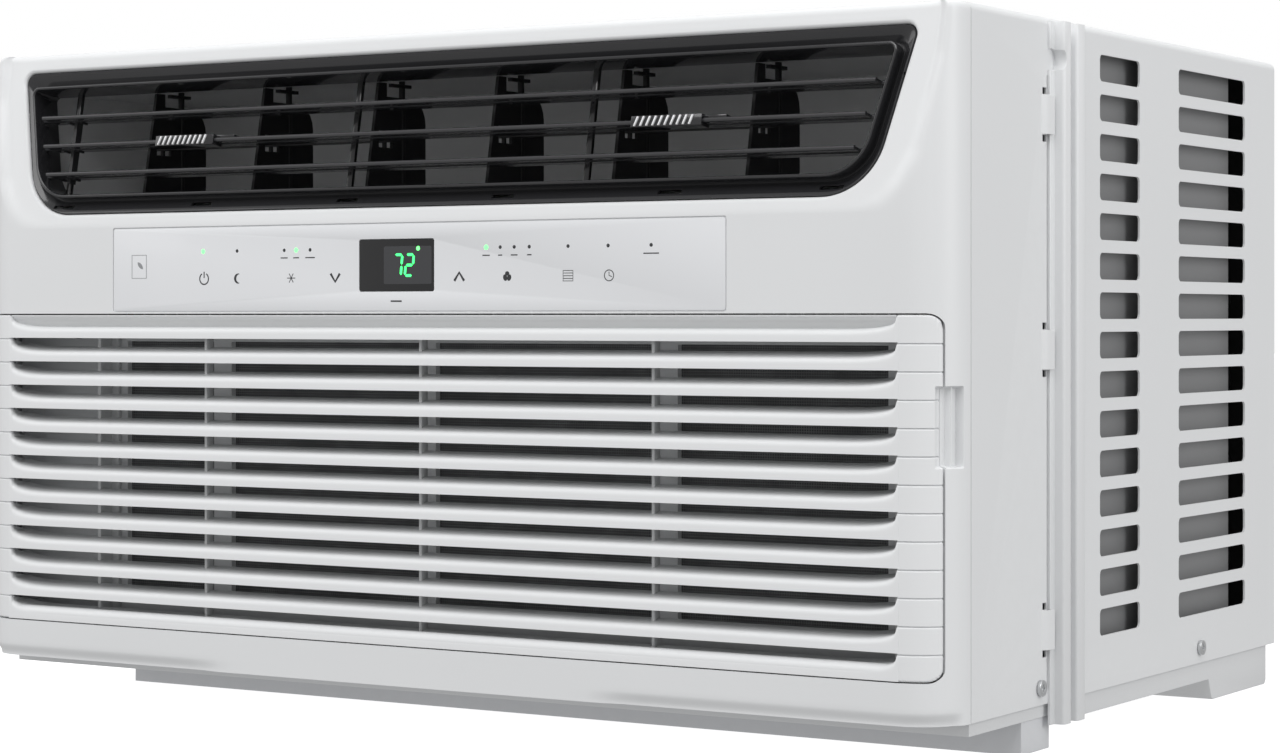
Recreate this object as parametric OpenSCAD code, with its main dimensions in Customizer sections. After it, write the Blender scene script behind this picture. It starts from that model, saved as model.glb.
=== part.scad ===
// Window air conditioner: a compact cooling unit that stands in a window on its bottom rail.
// X runs to the right seen from the room, Y from the room to the outside, Z up from the sill.
// The origin is at the middle of the footprint, at the height of the sill.

/* [Case] */
// Width across the case
case_w = 541; // [445:1:650]
// Depth from the flat front to the back edge
case_d = 388; // [320:1:470]
// Height of the top above the sill
case_top = 322; // [268:1:390]
// Height of the case's lower edge above the sill
case_foot = 20.5; // [20:0.1:26]
// Thickness of the sheet steel
sheet = 1; // [0.8:0.1:1.5]
// Width of the inward flange round the open back
back_flange = 12; // [8:1:16]

/* [Front] */
// Depth of the plastic front
front_d = 24.7; // [24:0.1:30]
// Radius of the front's upright corners
corner_r = 23.5; // [16:0.5:24]
// Wall of the plastic front and grille
wall = 2.5; // [2:0.1:3]
// Height of the leaning band round the outlet
band_h = 87.5; // [86:0.5:100]
// Distance that the band leans back at its top
band_lean = 16; // [10:0.5:18]
// Height of the strip with the controls
strip_h = 43.5; // [42:0.5:60]
// Least height of the apron under the grille
apron_h = 17; // [14:0.5:30]
// Gap round a panel that opens
seam = 0.6; // [0.4:0.1:1]

/* [Air outlet] */
// Half width of the outlet at its top
outlet_hw = 252; // [240:1:252]
// Space above the outlet, along the band
outlet_margin = 9; // [7:0.5:12]
// Height of the outlet, along the band
outlet_h = 73.5; // [70:0.5:80]
// Lean of the outlet's sides, in degrees
outlet_side = 13.5; // [8:0.5:16]
// Width of the ledge between the outlet's edge and the louver frame
ledge = 8; // [6:0.5:9]
// Distance between the louver blades
blade_pitch = 14.5; // [13:0.5:15]
// Depth of a louver blade
blade_chord = 12; // [9:0.5:13]
// Thickness of a louver blade
blade_t = 1.2; // [1:0.1:1.6]
// Distance between neighbouring vanes
vane_pitch = 68.7; // [50:0.1:72]
// Thickness of a vane
vane_t = 1.6; // [1.2:0.1:2]
// Distance from a vane's pivot to the pin that drives it
vane_arm = 14; // [12:0.5:15]

/* [Intake grille] */
// Distance from one slat to the next
slat_pitch = 11.7; // [10:0.1:14]
// Height of a slat's face
slat_face = 5.2; // [4:0.1:6]
// Depth of a slat
slat_d = 10; // [8:0.5:12]
// Half width of the slats
slat_hw = 248; // [210:1:248]
// Thickness of the filter frame
filter_t = 3.2; // [2.5:0.1:4]

/* [Controls] */
// Left end of the control film, from the middle
film_x0 = -180; // [-200:1:-150]
// Right end of the control film, from the middle
film_x1 = 167; // [150:1:200]
// Thickness of the control film
film_t = 0.4; // [0.3:0.1:0.5]
// Travel of a key
key_travel = 0.4; // [0.2:0.05:0.6]

/* [Fans] */
// Radius of the blower wheel
wheel_r = 80; // [60:1:84]
// Depth of the blower wheel
wheel_d = 50; // [30:1:54]
// Radius of the condenser fan's outer ring
fan_r = 112; // [90:1:114]
// Height of the motor shaft above the sill
fan_z = 135; // [130:1:150]
// Radius of the motor shaft
shaft_r = 4; // [3:0.5:5]
// Radius of the fan motor
motor_r = 48; // [40:1:52]
// Length of the fan motor
motor_len = 60; // [45:1:60]

/* [Cooling circuit] */
// Radius of the compressor
comp_r = 60; // [45:1:62]
// Height of the compressor
comp_h = 186; // [150:1:190]
// Depth of the evaporator
evap_d = 26; // [18:1:28]
// Depth of the condenser
cond_d = 40; // [20:1:42]
// Outer radius of the coil tubes
tube_r = 4; // [3:0.5:4.5]

/* [Vents and rails] */
// Distance from one vent row to the next
vent_pitch = 18.05; // [16:0.05:22]
// Height of a vent slot
vent_h = 12.2; // [8:0.1:13]
// Height that the window rails stand out from the case
rail_h = 6; // [5:0.5:10]

/* [Hidden] */
$fn = 64;

// --- places that follow from the sizes above ---
half_w = case_w / 2;
mid_y = case_d / 2;
eps = 0.01;
gap = 0.3;             // clearance between pieces that only stand near each other
pin_gap = 0.07;        // radial clearance of a pin in its hole
band_z = case_top - band_h;
grille_z1 = band_z - strip_h;
slats = floor((grille_z1 - case_foot - apron_h) / slat_pitch);
grille_z0 = grille_z1 - slats * slat_pitch;
lean = atan(band_lean / band_h);
band_v = band_h / cos(lean);

// outlet, in the band's own plane: x across, v up the band, n into the unit
hw = min(outlet_hw, half_w - 18.5);
outlet_v1 = band_v - outlet_margin;
outlet_v0 = outlet_v1 - outlet_h;
rim_v1 = outlet_v1 - ledge;
rim_v0 = outlet_v0 + ledge;
rim_hw = hw - ledge + 0.5;
rim_wall = 1.6;
rim_rb = 22;           // radius of the rim's bottom corners
rim_front = -2;        // the louver frame stands this far proud of the band
rim_back = 15;
pivot_n = 5;           // blade pivots behind the band
blade_mid_v = (rim_v0 + rim_v1) / 2 - 2;
blade_pin_r = 1;
bank_vanes = 3;        // vanes in each of the two banks
link_arm = 5;
link_x = -(rim_hw - 24);
strut_xs = [-224.6, -47.9, 84.9];

// discharge duct behind the louver frame
duct_wall = 2;
duct_n = rim_back + gap;
duct_z0 = band_z + rim_v0 * cos(lean) - rim_back * sin(lean);
duct_z1 = band_z + rim_v1 * cos(lean) - rim_back * sin(lean);
duct_hw = rim_hw + 0.5;
vane_z0 = duct_z0 + 1.6;
vane_z1 = duct_z1 - 1.6;
vane_pivot_y = 48;
vane_back_y = 66;
vane_pin_r = 1.5;
vane_shift = -6;       // the vane banks sit a little to the left of the middle
vane_step = min(vane_pitch, (2 * duct_hw - 70) / (2 * bank_vanes));
vane_mid_z = (vane_z0 + vane_z1) / 2;
link_h = 4;
function vane_x(i) = vane_shift + vane_step * (i - bank_vanes - 0.5);

// grille hinge: the panel's lower edge is rolled round the hinge line
roll_r = 3.5;
hinge_z = grille_z0 + gap + roll_r;
hinge_pin_r = 1.2;
hinge_x = half_w - 70.5;
panel_hw = half_w - 4.8;
grille_hw = min(slat_hw, half_w - 22.5);
rib_xs = [-126.5, 1, 126.5];

// filter and its guides
filter_y = 19;
filter_x0 = -half_w + 75;
filter_x1 = half_w - 27.5;
filter_z0 = grille_z0 + 5;
filter_z1 = grille_z1 - 8;
filter_bar = 8;
guide_t = 2;

// cooling parts, from the front to the back
evap_y = 34;
evap_x0 = -half_w + 80;
evap_x1 = half_w - 28;
evap_z1 = band_z - 3;
floor_front = case_foot - 6;    // undersides of the base pan, front to back
floor_mid = case_foot - 10;
pan_step_y = 112;
sump_y = case_d - 85;
pan_back_y = case_d - 7;
pan_inset = 2;
fan_x = -half_w + 85.5 + comp_r + 37 + 118;
comp_x = -half_w + 85.5;
comp_y = min(235, case_d - 153);
scroll_y0 = evap_y + evap_d + 10;
scroll_y1 = scroll_y0 + wheel_d + 16;
scroll_r = wheel_r + 15;
part_y = scroll_y1 + 10;
cond_y = case_d - 14 - cond_d;
cond_x0 = -half_w + 45;
cond_x1 = half_w - 30;
cond_z0 = 3;
cond_z1 = case_top - 24;
fan_d = 20;
fan_y = cond_y - 70;
motor_y = (part_y + fan_y - motor_len) / 2 - 3;
shroud_y = fan_y + fan_d + 4;
slinger_r = fan_r + 3;

// controls
key_z = grille_z1 + 17;
led_z = grille_z1 + 30.1;
board_y = 10.4;
switch_top = 6.95;
// each key: x, width
key_at = [[-122.5, 11], [-101.6, 13], [-69.5, 15], [-43.5, 11], [27.1, 11], [53.4, 17], [86, 15], [107.5, 12]];
key_h = 9;
window = [-29.6, 13.1, grille_z1 + 10.4, grille_z1 + 34.6];
lit_x = [-123.1, -66.6, 41.9];
dark_x = [-102.2, -73.7, -58.3, 49.6, 57.2, 65.3, 86, 107, 129.2];
led_r = 1;

// vents on the sides
vent_top = case_top - 12.4;
vent_rows = floor((vent_top - vent_h - case_foot - 19) / vent_pitch) + 1;
vent_cols = [[160, 207], [case_d - 132.5, case_d - 43]];
rail_y = [102.4, 137.2];
sill_y = [80.4, 109.5];
tab_zs = [44.3, (case_top + 12) / 2, case_top - 52];
tab_len_z = 17.4;
rail_base = 1.2;
groove = [115, 121];
screw_at = [[94, case_foot + 7.6], [case_d - 105, case_foot + 7.6]];
screw_r = 2;
top_hole = [180, 119.8, 2.1];
gland_at = [70, 60];
gland_r = 4.2;

// --- helpers ---
module seat() translate([0, -mid_y, 0]) children();
module mirror_copy(v = [1, 0, 0]) { children(); mirror(v) children(); }
module on_band() translate([0, 0, band_z]) rotate([-lean, 0, 0]) children();
module block(x0, x1, y0, y1, z0, z1) translate([x0, y0, z0]) cube([x1 - x0, y1 - y0, z1 - z0]);
module along_y(r, y0, y1) translate([0, y1, 0]) rotate([90, 0, 0]) cylinder(r = r, h = y1 - y0);
module along_x(r, x0, x1) translate([x0, 0, 0]) rotate([0, 90, 0]) cylinder(r = r, h = x1 - x0);
// a flat outline in x and z (or v), given thickness from y0 to y1
module plate(y0, y1) translate([0, y1, 0]) rotate([90, 0, 0]) linear_extrude(y1 - y0) children();
// an outline in y and z, run across from x0 to x1
module run_x(x0, x1) translate([x0, 0, 0]) rotate([90, 0, 90]) linear_extrude(x1 - x0) children();
function arc(cx, cy, r, a0, a1, n) = [for (i = [0:n]) [cx + r * cos(a0 + (a1 - a0) * i / n), cy + r * sin(a0 + (a1 - a0) * i / n)]];

// half of an outlet outline: top corner then bottom corner, on the right
function outlet_side_pts(h, v0, v1, rt, rb) = concat(
    arc(h - rt * (1 + sin(outlet_side)) / cos(outlet_side), v1 - rt, rt, 90, -outlet_side, 6),
    arc(h + (sin(outlet_side) * (v0 + rb - v1) - rb) / cos(outlet_side), v0 + rb, rb, -outlet_side, -90, 10));
function flip(p) = [for (i = [len(p) - 1:-1:0]) [-p[i][0], p[i][1]]];
function outlet_pts(h, v0, v1, rt, rb, g) = let(
    k = g * (1 + sin(outlet_side)) / cos(outlet_side),
    s = outlet_side_pts(h + k, v0 - g, v1 + g, rt + g, rb + g)) concat(s, flip(s));
module outlet_shape(g = 0) polygon(outlet_pts(hw, outlet_v0, outlet_v1, 5, 29, g));
module rim_shape(g = 0) polygon(outlet_pts(rim_hw, rim_v0, rim_v1, 4, rim_rb, g));

// plan of the front: a bar with rounded front corners
module front_plan(y0, r, inset, back) {
    w = half_w - inset;
    ri = r - inset;
    translate([-w + ri, y0 + inset]) square([2 * (w - ri), back - y0 - inset]);
    translate([-w, y0 + inset + ri]) square([2 * w, back - y0 - inset - ri]);
    for (s = [-1, 1]) intersection() {
        translate([s * (w - ri), y0 + inset + ri]) circle(r = ri, $fn = 64);
        translate([-half_w, y0]) square([case_w, ri + inset + eps]);
    }
}
top_corner_r = front_d - band_lean;
module front_solid(inset, z0, z1, back) {
    lean_top = band_lean * (z1 - band_z) / band_h;
    top_r = max(corner_r - (corner_r - top_corner_r) * (z1 - band_z) / band_h, inset + 0.5);
    translate([0, 0, z0]) linear_extrude(band_z - z0) front_plan(0, corner_r, inset, back);
    hull() {
        translate([0, 0, band_z - eps]) linear_extrude(eps) front_plan(0, corner_r, inset, back, $fn = 32);
        translate([0, 0, z1 - eps]) linear_extrude(eps) front_plan(lean_top, top_r, inset, back, $fn = 32);
    }
}
// scoop for the fingers across the grille's side seam
scoop_z = [grille_z1 - 64.2, grille_z1 - 30];
scoop_r = 8.5;
scoop_out = 4;
scoop_phi = 61;
module scoop(grow, ends) {
    c = corner_r + scoop_out;
    translate([half_w - corner_r + c * sin(scoop_phi), corner_r - c * cos(scoop_phi), scoop_z[0] - ends])
        cylinder(r = scoop_r + grow, h = scoop_z[1] - scoop_z[0] + 2 * ends);
}
module grille_window(grow, y1) {
    block(-panel_hw - grow, panel_hw + grow, -1, y1, grille_z0 + gap - grow, grille_z1 - gap + grow);
}

// --- case ---
module base_pan() seat() color("gainsboro") {
    w = half_w - pan_inset;
    top = case_foot + 12;
    difference() {
        union() {
            block(-w, w, front_d + 2.5, pan_step_y, floor_front, top);
            block(-w, w, pan_step_y, sump_y, floor_mid, top);
            block(-w, w, sump_y, pan_back_y, 0, top);
        }
        block(-w + sheet, w - sheet, front_d + 2.5 + sheet, pan_step_y + sheet, floor_front + sheet, top + 1);
        block(-w + sheet, w - sheet, pan_step_y + sheet, sump_y + sheet, floor_mid + sheet, top + 1);
        block(-w + sheet, w - sheet, sump_y + sheet, pan_back_y - sheet, sheet, top + 1);
        for (s = [-1, 1], p = screw_at)
            translate([0, p[0], p[1]]) along_x(screw_r, s * half_w - 6, s * half_w + 6);
    }
}

module bottom_rail() seat() color("darkgray") {
    // hat-shaped rail under the pan, which drops in behind the sill's upstand
    x0 = -half_w + 33.5;
    x1 = half_w - 2.5;
    difference() {
        block(x0, x1, sill_y[0], sill_y[1], 0, floor_front);
        block(x0 - 1, x1 - sheet, sill_y[0] + sheet, sill_y[1] - sheet, sheet, floor_front + 1);
    }
}

module vent_slot(length) {
    r = 2;
    translate([r, 0]) square([length - 2 * r, vent_h]);
    translate([0, r]) square([length, vent_h - 2 * r]);
    for (y = [r, length - r], z = [r, vent_h - r]) translate([y, z]) circle(r = r);
}
module cabinet() seat() color("whitesmoke") difference() {
    y0 = front_d + 0.2;
    r = 4;
    union() {
        // lanced tabs that hold the front edge of each window rail
        mirror_copy() for (z = tab_zs) {
            block(half_w - eps, half_w + 2.4, rail_y[0] - 3.4, rail_y[0] - 0.1, z, z + tab_len_z);
            block(half_w + rail_base + 0.1, half_w + 2.4, rail_y[0] - 0.2, rail_y[0] + 2.4, z, z + tab_len_z);
        }
        difference() {
            plate(y0, case_d) cabinet_outline(0, r, case_foot);
            plate(y0 - 1, case_d - sheet) cabinet_outline(sheet, r - sheet, case_foot - 5);
            block(-half_w + back_flange, half_w - back_flange, case_d - 5, case_d + 1, case_foot - 1, case_top - back_flange);
        }
    }
    run_x(-half_w - 4, half_w + 4) for (c = vent_cols, i = [0:vent_rows - 1])
        translate([c[0], vent_top - i * vent_pitch - vent_h]) vent_slot(c[1] - c[0]);
    for (s = [-1, 1]) {
        for (p = screw_at)
            translate([0, p[0], p[1]]) along_x(screw_r, s * half_w - 6, s * half_w + 6);
        translate([s * top_hole[0], top_hole[1], case_top - 3]) cylinder(r = top_hole[2], h = 5);
    }
    translate([0, gland_at[0], gland_at[1]]) along_x(gland_r + 2.5, -half_w - 3, -half_w + 3);
}
module cabinet_outline(inset, r, z0) {
    w = half_w - inset;
    translate([-w, z0]) square([2 * w, case_top - inset - r - z0]);
    translate([-w + r, z0]) square([2 * (w - r), case_top - inset - z0]);
    for (s = [-1, 1]) translate([s * (w - r), case_top - inset - r]) circle(r = r);
}

module side_rail() color("white") {
    // channel for a side curtain: two ribs on a strip with a groove between them
    difference() {
        union() {
            block(half_w, half_w + rail_base, rail_y[0], rail_y[1], 11, case_top - 2);
            block(half_w, half_w + rail_h, rail_y[0] + 4.1, groove[0], 11, case_top - 2);
            block(half_w, half_w + rail_h, groove[1], groove[1] + 9, 11, case_top - 2);
        }
        translate([half_w - 1, rail_y[0] + 2, case_top - 19]) rotate([0, 90, 0]) cylinder(r = 5, h = rail_h + 2);
    }
}
module side_rail_right() seat() side_rail();
module side_rail_left() seat() mirror([1, 0, 0]) side_rail();

// --- plastic front ---
module front_bezel() seat() color("whitesmoke") {
    difference() {
        union() {
            difference() {
                front_solid(0, case_foot, case_top, front_d);
                front_solid(wall, case_foot + wall, case_top - wall, front_d + 1);
            }
            mirror_copy() intersection() {
                front_solid(0, case_foot, case_top, front_d);
                scoop(2, 2);
            }
            // shelf on top of the apron, behind the grille's lower edge
            block(-panel_hw, panel_hw, wall, 12, grille_z0 + gap - seam - wall, grille_z0 + gap - seam);
        }
        grille_window(seam, 19);
        mirror_copy() scoop(0, 0);
        on_band() plate(-4, 9) outlet_shape(0);
        // undercuts at both ends of the apron's lower edge
        undercut = [[-1, case_foot - 1], [-1, case_foot + 7], [0, case_foot + 7], [2, case_foot], [2, case_foot - 1]];
        run_x(-half_w - 1, -123) polygon(undercut);
        run_x(107, half_w + 1) polygon(undercut);
        block(film_x0 - 0.2, film_x1 + 0.2, -1, film_t + 0.2, grille_z1 + 1, grille_z1 + 42.2);
        block(window[0] - 0.2, window[1] + 0.2, -1, wall + 1, window[2] - 0.2, window[3] + 0.2);
        for (k = key_at)
            block(k[0] - k[1] / 2 - gap, k[0] + k[1] / 2 + gap, -1, wall + 1, key_z - key_h / 2 - gap, key_z + key_h / 2 + gap);
        for (x = concat(lit_x, dark_x)) translate([x, 0, led_z]) along_y(led_r + 0.15, -1, wall + 1);
    }
    mirror_copy() hinge_lug();
}
module hinge_lug() {
    w = 3;
    difference() {
        union() {
            translate([0, roll_r, hinge_z]) along_x(2.3, hinge_x - w, hinge_x + w);
            block(hinge_x - w, hinge_x + w, roll_r, 9.5, hinge_z - 1.2, hinge_z + 1.2);
            block(hinge_x - w, hinge_x + w, 7, 9.5, grille_z0 + gap - seam - eps, hinge_z + 1.2);
        }
        translate([0, roll_r, hinge_z]) along_x(hinge_pin_r + pin_gap, hinge_x - w - 1, hinge_x + w + 1);
    }
}

module intake_grille() seat() color("white") {
    z0 = grille_z0 + gap;
    z1 = grille_z1 - gap;
    gap_h = slat_pitch - slat_face;
    difference() {
        union() {
            difference() {
                union() {
                    intersection() {
                        union() {
                            difference() {
                                translate([0, 0, z0 + roll_r]) linear_extrude(z1 - z0 - roll_r) front_plan(0, corner_r, 0, 30);
                                translate([0, 0, z0 - 1]) linear_extrude(z1 - z0 + 2) front_plan(0, corner_r, wall, 31);
                            }
                            mirror_copy() scoop(2, 2);
                        }
                        block(-panel_hw, panel_hw, -1, 18, z0, z1);
                        translate([0, 0, z0]) linear_extrude(z1 - z0) front_plan(0, corner_r, 0, 30);
                    }
                    // rolled lower edge round the hinge line
                    translate([0, roll_r, hinge_z]) along_x(roll_r, -half_w + corner_r, half_w - corner_r);
                }
                block(-grille_hw, grille_hw, -1, 8, z0 + slat_face + 1, z1 - 1);
            }
            slat_stack();
            for (x = rib_xs) block(x - 0.8, x + 0.8, 2, slat_d + 1, hinge_z, z1 - 1);
            mirror_copy() block(grille_hw - 1, grille_hw + 1.5, 1, slat_d + 2, z0 + 4, z1 - 1);
            filter_guides();
        }
        mirror_copy() scoop(0, 0);
        mirror_copy() {
            translate([0, roll_r, hinge_z]) along_x(2.7, hinge_x - 3.6, hinge_x + 3.6);
            block(hinge_x - 3.6, hinge_x + 3.6, roll_r - gap, 18, hinge_z - 5, hinge_z + 5);
        }
    }
    mirror_copy() translate([0, roll_r, hinge_z]) along_x(hinge_pin_r, hinge_x - 4, hinge_x + 4);
}
// slats: a face, a bead along its top, and a blade that rises towards the filter
module slat_stack() {
    rise = slat_d * 0.22;
    gap_h = slat_pitch - slat_face;
    for (i = [1:slats - 1]) {
        z = grille_z1 - i * slat_pitch + slat_face - 0.2;
        translate([0, 0, z]) {
            run_x(-grille_hw, grille_hw) polygon([
                [0, -slat_face], [0, -0.8], [0.25, -0.2], [0.8, 0], [slat_d, rise], [slat_d, rise - 1.6],
                [1.8, -1.8], [1.8, -slat_face]]);
            mirror_copy() plate(0, 1.8) polygon(slat_end(gap_h));
        }
    }
    // closed cove under the top edge
    run_x(-grille_hw, grille_hw) polygon([
        [0, grille_z1 - 1.3], [slat_d, grille_z1 - 1.3], [slat_d, grille_z1 - slat_pitch + slat_face + rise - 2],
        [slat_d - 1.5, grille_z1 - slat_pitch + slat_face + rise - 2], [slat_d - 1.5, grille_z1 - 3], [0, grille_z1 - 2.6]]);
}
slat_end_len = 34;
function slat_end(h) = concat([[grille_hw + 1, -1], [grille_hw + 1, h + 0.2], [grille_hw, h + 0.2]],
    [for (i = [0:7]) let(a = 90 * i / 8) [grille_hw - slat_end_len * (1 - cos(a)), h * (1 - sin(a))]],
    [[grille_hw - slat_end_len, -1]]);
module filter_guides() {
    z0 = filter_z0 - 2.5;
    z1 = filter_z1;
    y1 = filter_y + filter_t + gap + guide_t;
    mirror_x = [[filter_x0, 1], [filter_x1, -1]];
    for (g = mirror_x) translate([g[0], 0, 0]) scale([g[1], 1, 1]) {
        block(-gap - guide_t, -gap, slat_d - 1, y1, z0, z1);
        block(-gap - eps, 4, filter_y - gap - guide_t, filter_y - gap, z0, z1);
        block(-gap - eps, 4, y1 - guide_t, y1, z0, z1);
        block(-gap - eps, 4, filter_y - gap - guide_t, y1, z0, filter_z0 - gap);
    }
    // the left guide stands between the slats and needs its own post to the front
    block(filter_x0 - gap - guide_t, filter_x0 - gap, 1.5, slat_d, hinge_z, grille_z1 - 2);
    block(filter_x1 + gap, filter_x1 + gap + guide_t, 1.5, slat_d, hinge_z, grille_z1 - 2);
}

module filter_frame() seat() color("lightgray") difference() {
    block(filter_x0, filter_x1, filter_y, filter_y + filter_t, filter_z0, filter_z1);
    bars = [filter_x0, -126.7, -2, 125.8, filter_x1];
    widths = [filter_bar, 11, 5, 11, filter_bar];
    for (i = [0:3]) {
        a = bars[i] + (i == 0 ? widths[0] : widths[i] / 2);
        b = bars[i + 1] - (i == 3 ? widths[4] : widths[i + 1] / 2);
        block(a, b, filter_y - 1, filter_y + filter_t + 1, filter_z0 + 5, filter_z1 - 5);
    }
}
module filter_mesh() seat() color("dimgray") {
    y = filter_y + filter_t;
    block(filter_x0 + 5, filter_x1 - 5, y, y + 0.2, filter_z0 + 3, filter_z1 - 3);
}

// --- outlet ---
module louver_frame() seat() color("black") on_band() difference() {
    union() {
        plate(1.2, 3.2) difference() { outlet_shape(-0.4); rim_shape(-1); }
        plate(1.2, 12) difference() { outlet_shape(-0.4); outlet_shape(-1.8); }
        plate(rim_front, rim_back) difference() { rim_shape(0); rim_shape(-rim_wall); }
        for (x = strut_xs) block(x - 1.5, x + 1.5, rim_back - 2.4, rim_back, rim_v0 + 0.5, rim_v1 - 0.5);
    }
    for (i = [-1:1]) translate([0, pivot_n, blade_mid_v + i * blade_pitch])
        along_x(blade_pin_r + pin_gap, -rim_hw - 6, rim_hw + 6);
}
// half width of the rim at a height, with its rounded bottom corner
function rim_half(v) = let(
    cv = rim_v0 + rim_rb,
    cx = rim_hw + (sin(outlet_side) * (cv - rim_v1) - rim_rb) / cos(outlet_side))
    v > cv - rim_rb * sin(outlet_side) ? rim_hw - (rim_v1 - v) * tan(outlet_side)
    : cx + sqrt(rim_rb * rim_rb - pow(cv - v, 2));
module blade(i) seat() color("dimgray") on_band() translate([0, pivot_n, blade_mid_v + i * blade_pitch]) {
    w = rim_half(blade_mid_v + i * blade_pitch) - rim_wall - 4.5;
    back = blade_chord / 2;
    difference() {
        union() {
            block(-w, w, -back, back, -blade_t / 2, blade_t / 2);
            translate([0, -back, 0]) along_x(blade_t * 0.9, -w, w);
        }
        block(link_x - 3.5, link_x + 3.5, link_arm - 2.5, back + 1, -5, 5);
    }
    along_x(blade_pin_r, -w - 5, w + 5);
    translate([0, link_arm, 0]) along_x(0.9, link_x - 4, link_x + 4);
    // cheeks that carry the link pin beside the notch
    for (s = [-1, 1]) translate([s * 4.25, 0, 0]) block(link_x - 0.7, link_x + 0.7, link_arm - 3, link_arm + 1.2, -1.2, 1.2);
}
module blade_upper() blade(1);
module blade_middle() blade(0);
module blade_lower() blade(-1);
module blade_link() seat() color("black") on_band() difference() {
    block(link_x - 1, link_x + 1, pivot_n + link_arm - 2, pivot_n + link_arm + 2,
        blade_mid_v - blade_pitch - 2.5, blade_mid_v + blade_pitch + 2.5);
    for (i = [-1:1]) translate([0, pivot_n + link_arm, blade_mid_v + i * blade_pitch])
        along_x(0.9 + pin_gap, link_x - 2, link_x + 2);
}

module discharge_duct() seat() color("dimgray") difference() {
    y1 = scroll_y1 + duct_wall;
    union() {
        difference() {
            block(-duct_hw - duct_wall, duct_hw + duct_wall, 5, y1, duct_z0 - duct_wall, duct_z1 + duct_wall);
            block(-duct_hw, duct_hw, 0, y1 - duct_wall, duct_z0, duct_z1);
        }
    }
    on_band() block(-half_w, half_w, -60, duct_n, -40, band_v + 20);
    block(fan_x - scroll_r + 2, fan_x + scroll_r - 2, scroll_y0 + 2, scroll_y1 - 2, duct_z0 - 5, duct_z0 + 1);
    for (i = [1:2 * bank_vanes]) translate([vane_x(i), vane_pivot_y, duct_z0 - 5])
        cylinder(r = vane_pin_r + pin_gap, h = duct_z1 - duct_z0 + 10);
}
function slope_y(z, n) = (z - band_z) * tan(lean) + n / cos(lean);
module vane(i) seat() color("black") translate([vane_x(i), 0, 0]) {
    front_n = rim_back + 1.5;
    y_low = slope_y(vane_z0, front_n);
    y_high = slope_y(vane_z1, front_n);
    pin_y = vane_pivot_y - vane_arm;
    shoulder = 6.5;
    // cross bar of the T-shaped pivot, just under the duct's ceiling
    block(-1.2, 1.2, vane_pivot_y - 9, vane_pivot_y + 6, vane_z1 - 1.6, vane_z1);
    difference() {
        run_x(-vane_t / 2, vane_t / 2) polygon(concat(
            [[y_low, vane_z0], [y_high, vane_z1], [y_high + 6, vane_z1], [y_high + 6, vane_z1 - shoulder]],
            arc(vane_back_y - 12, vane_z1 - shoulder - 12, 12, 90, 0, 5),
            arc(vane_back_y - 7, vane_z0 + 7, 7, 0, -90, 4),
            [[y_high + 8, vane_z0], [y_high + 7, vane_z0 + 1.5], [y_high + 6, vane_z0]]));
        block(-5, 5, pin_y - 5.4, pin_y + 5.4, vane_mid_z - link_h, vane_mid_z + link_h);
    }
    translate([0, vane_pivot_y, vane_z0 - 2.6]) cylinder(r = vane_pin_r, h = vane_z1 - vane_z0 + 5.2);
    translate([0, pin_y, vane_mid_z - link_h - 0.5]) cylinder(r = 1.1, h = 2 * link_h + 1);
}
module vane_1() vane(1);
module vane_2() vane(2);
module vane_3() vane(3);
module vane_4() vane(4);
module vane_5() vane(5);
module vane_6() vane(6);
module vane_link(first) seat() color("black") difference() {
    y = vane_pivot_y - vane_arm;
    block(vane_x(first) - 5, vane_x(first + bank_vanes - 1) + 5, y - 2.4, y + 2.4, vane_mid_z - 1.5, vane_mid_z + 1.5);
    for (i = [first:first + bank_vanes - 1]) translate([vane_x(i), y, vane_mid_z - 3]) cylinder(r = 1.1 + pin_gap, h = 6);
}
module vane_link_left() vane_link(1);
module vane_link_right() vane_link(bank_vanes + 1);

// ribbed finger tab that slides along the middle blade and steers one bank of vanes
tab_len = 32;
tab_h = 5;
tab_at = [38, 36];     // from the first vane of the left bank, and the second of the right
module vane_tab(x) seat() on_band() translate([x, pivot_n - blade_chord / 2, blade_mid_v]) {
    slot = blade_t / 2 + gap;
    color("black") {
        difference() {
            union() {
                block(-tab_len / 2 - 1, tab_len / 2 + 3, -2.4, 5, -tab_h / 2, tab_h / 2);
                block(tab_len / 2 + 2, tab_len / 2 + 14, -0.5, 5, 0, tab_h / 2);
            }
            block(-tab_len, tab_len, -1.5, 6, -slot, slot);
            translate([0, 0, 0]) along_x(blade_t * 0.9 + gap, -tab_len, tab_len);
        }
        block(-2, 2, 4, 14, slot + 0.6, slot + 1.6);
    }
    color("white") for (i = [0:9]) translate([-tab_len / 2 + 2 + i * 3.1, -2.4, 0]) rotate([0, 25, 0])
        block(-0.5, 0.5, -0.6, eps, -tab_h / 2 + 0.3, tab_h / 2 - 0.3);
}
module vane_tab_left() vane_tab(vane_x(1) + tab_at[0]);
module vane_tab_right() vane_tab(vane_x(bank_vanes + 2) + tab_at[1]);

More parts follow.
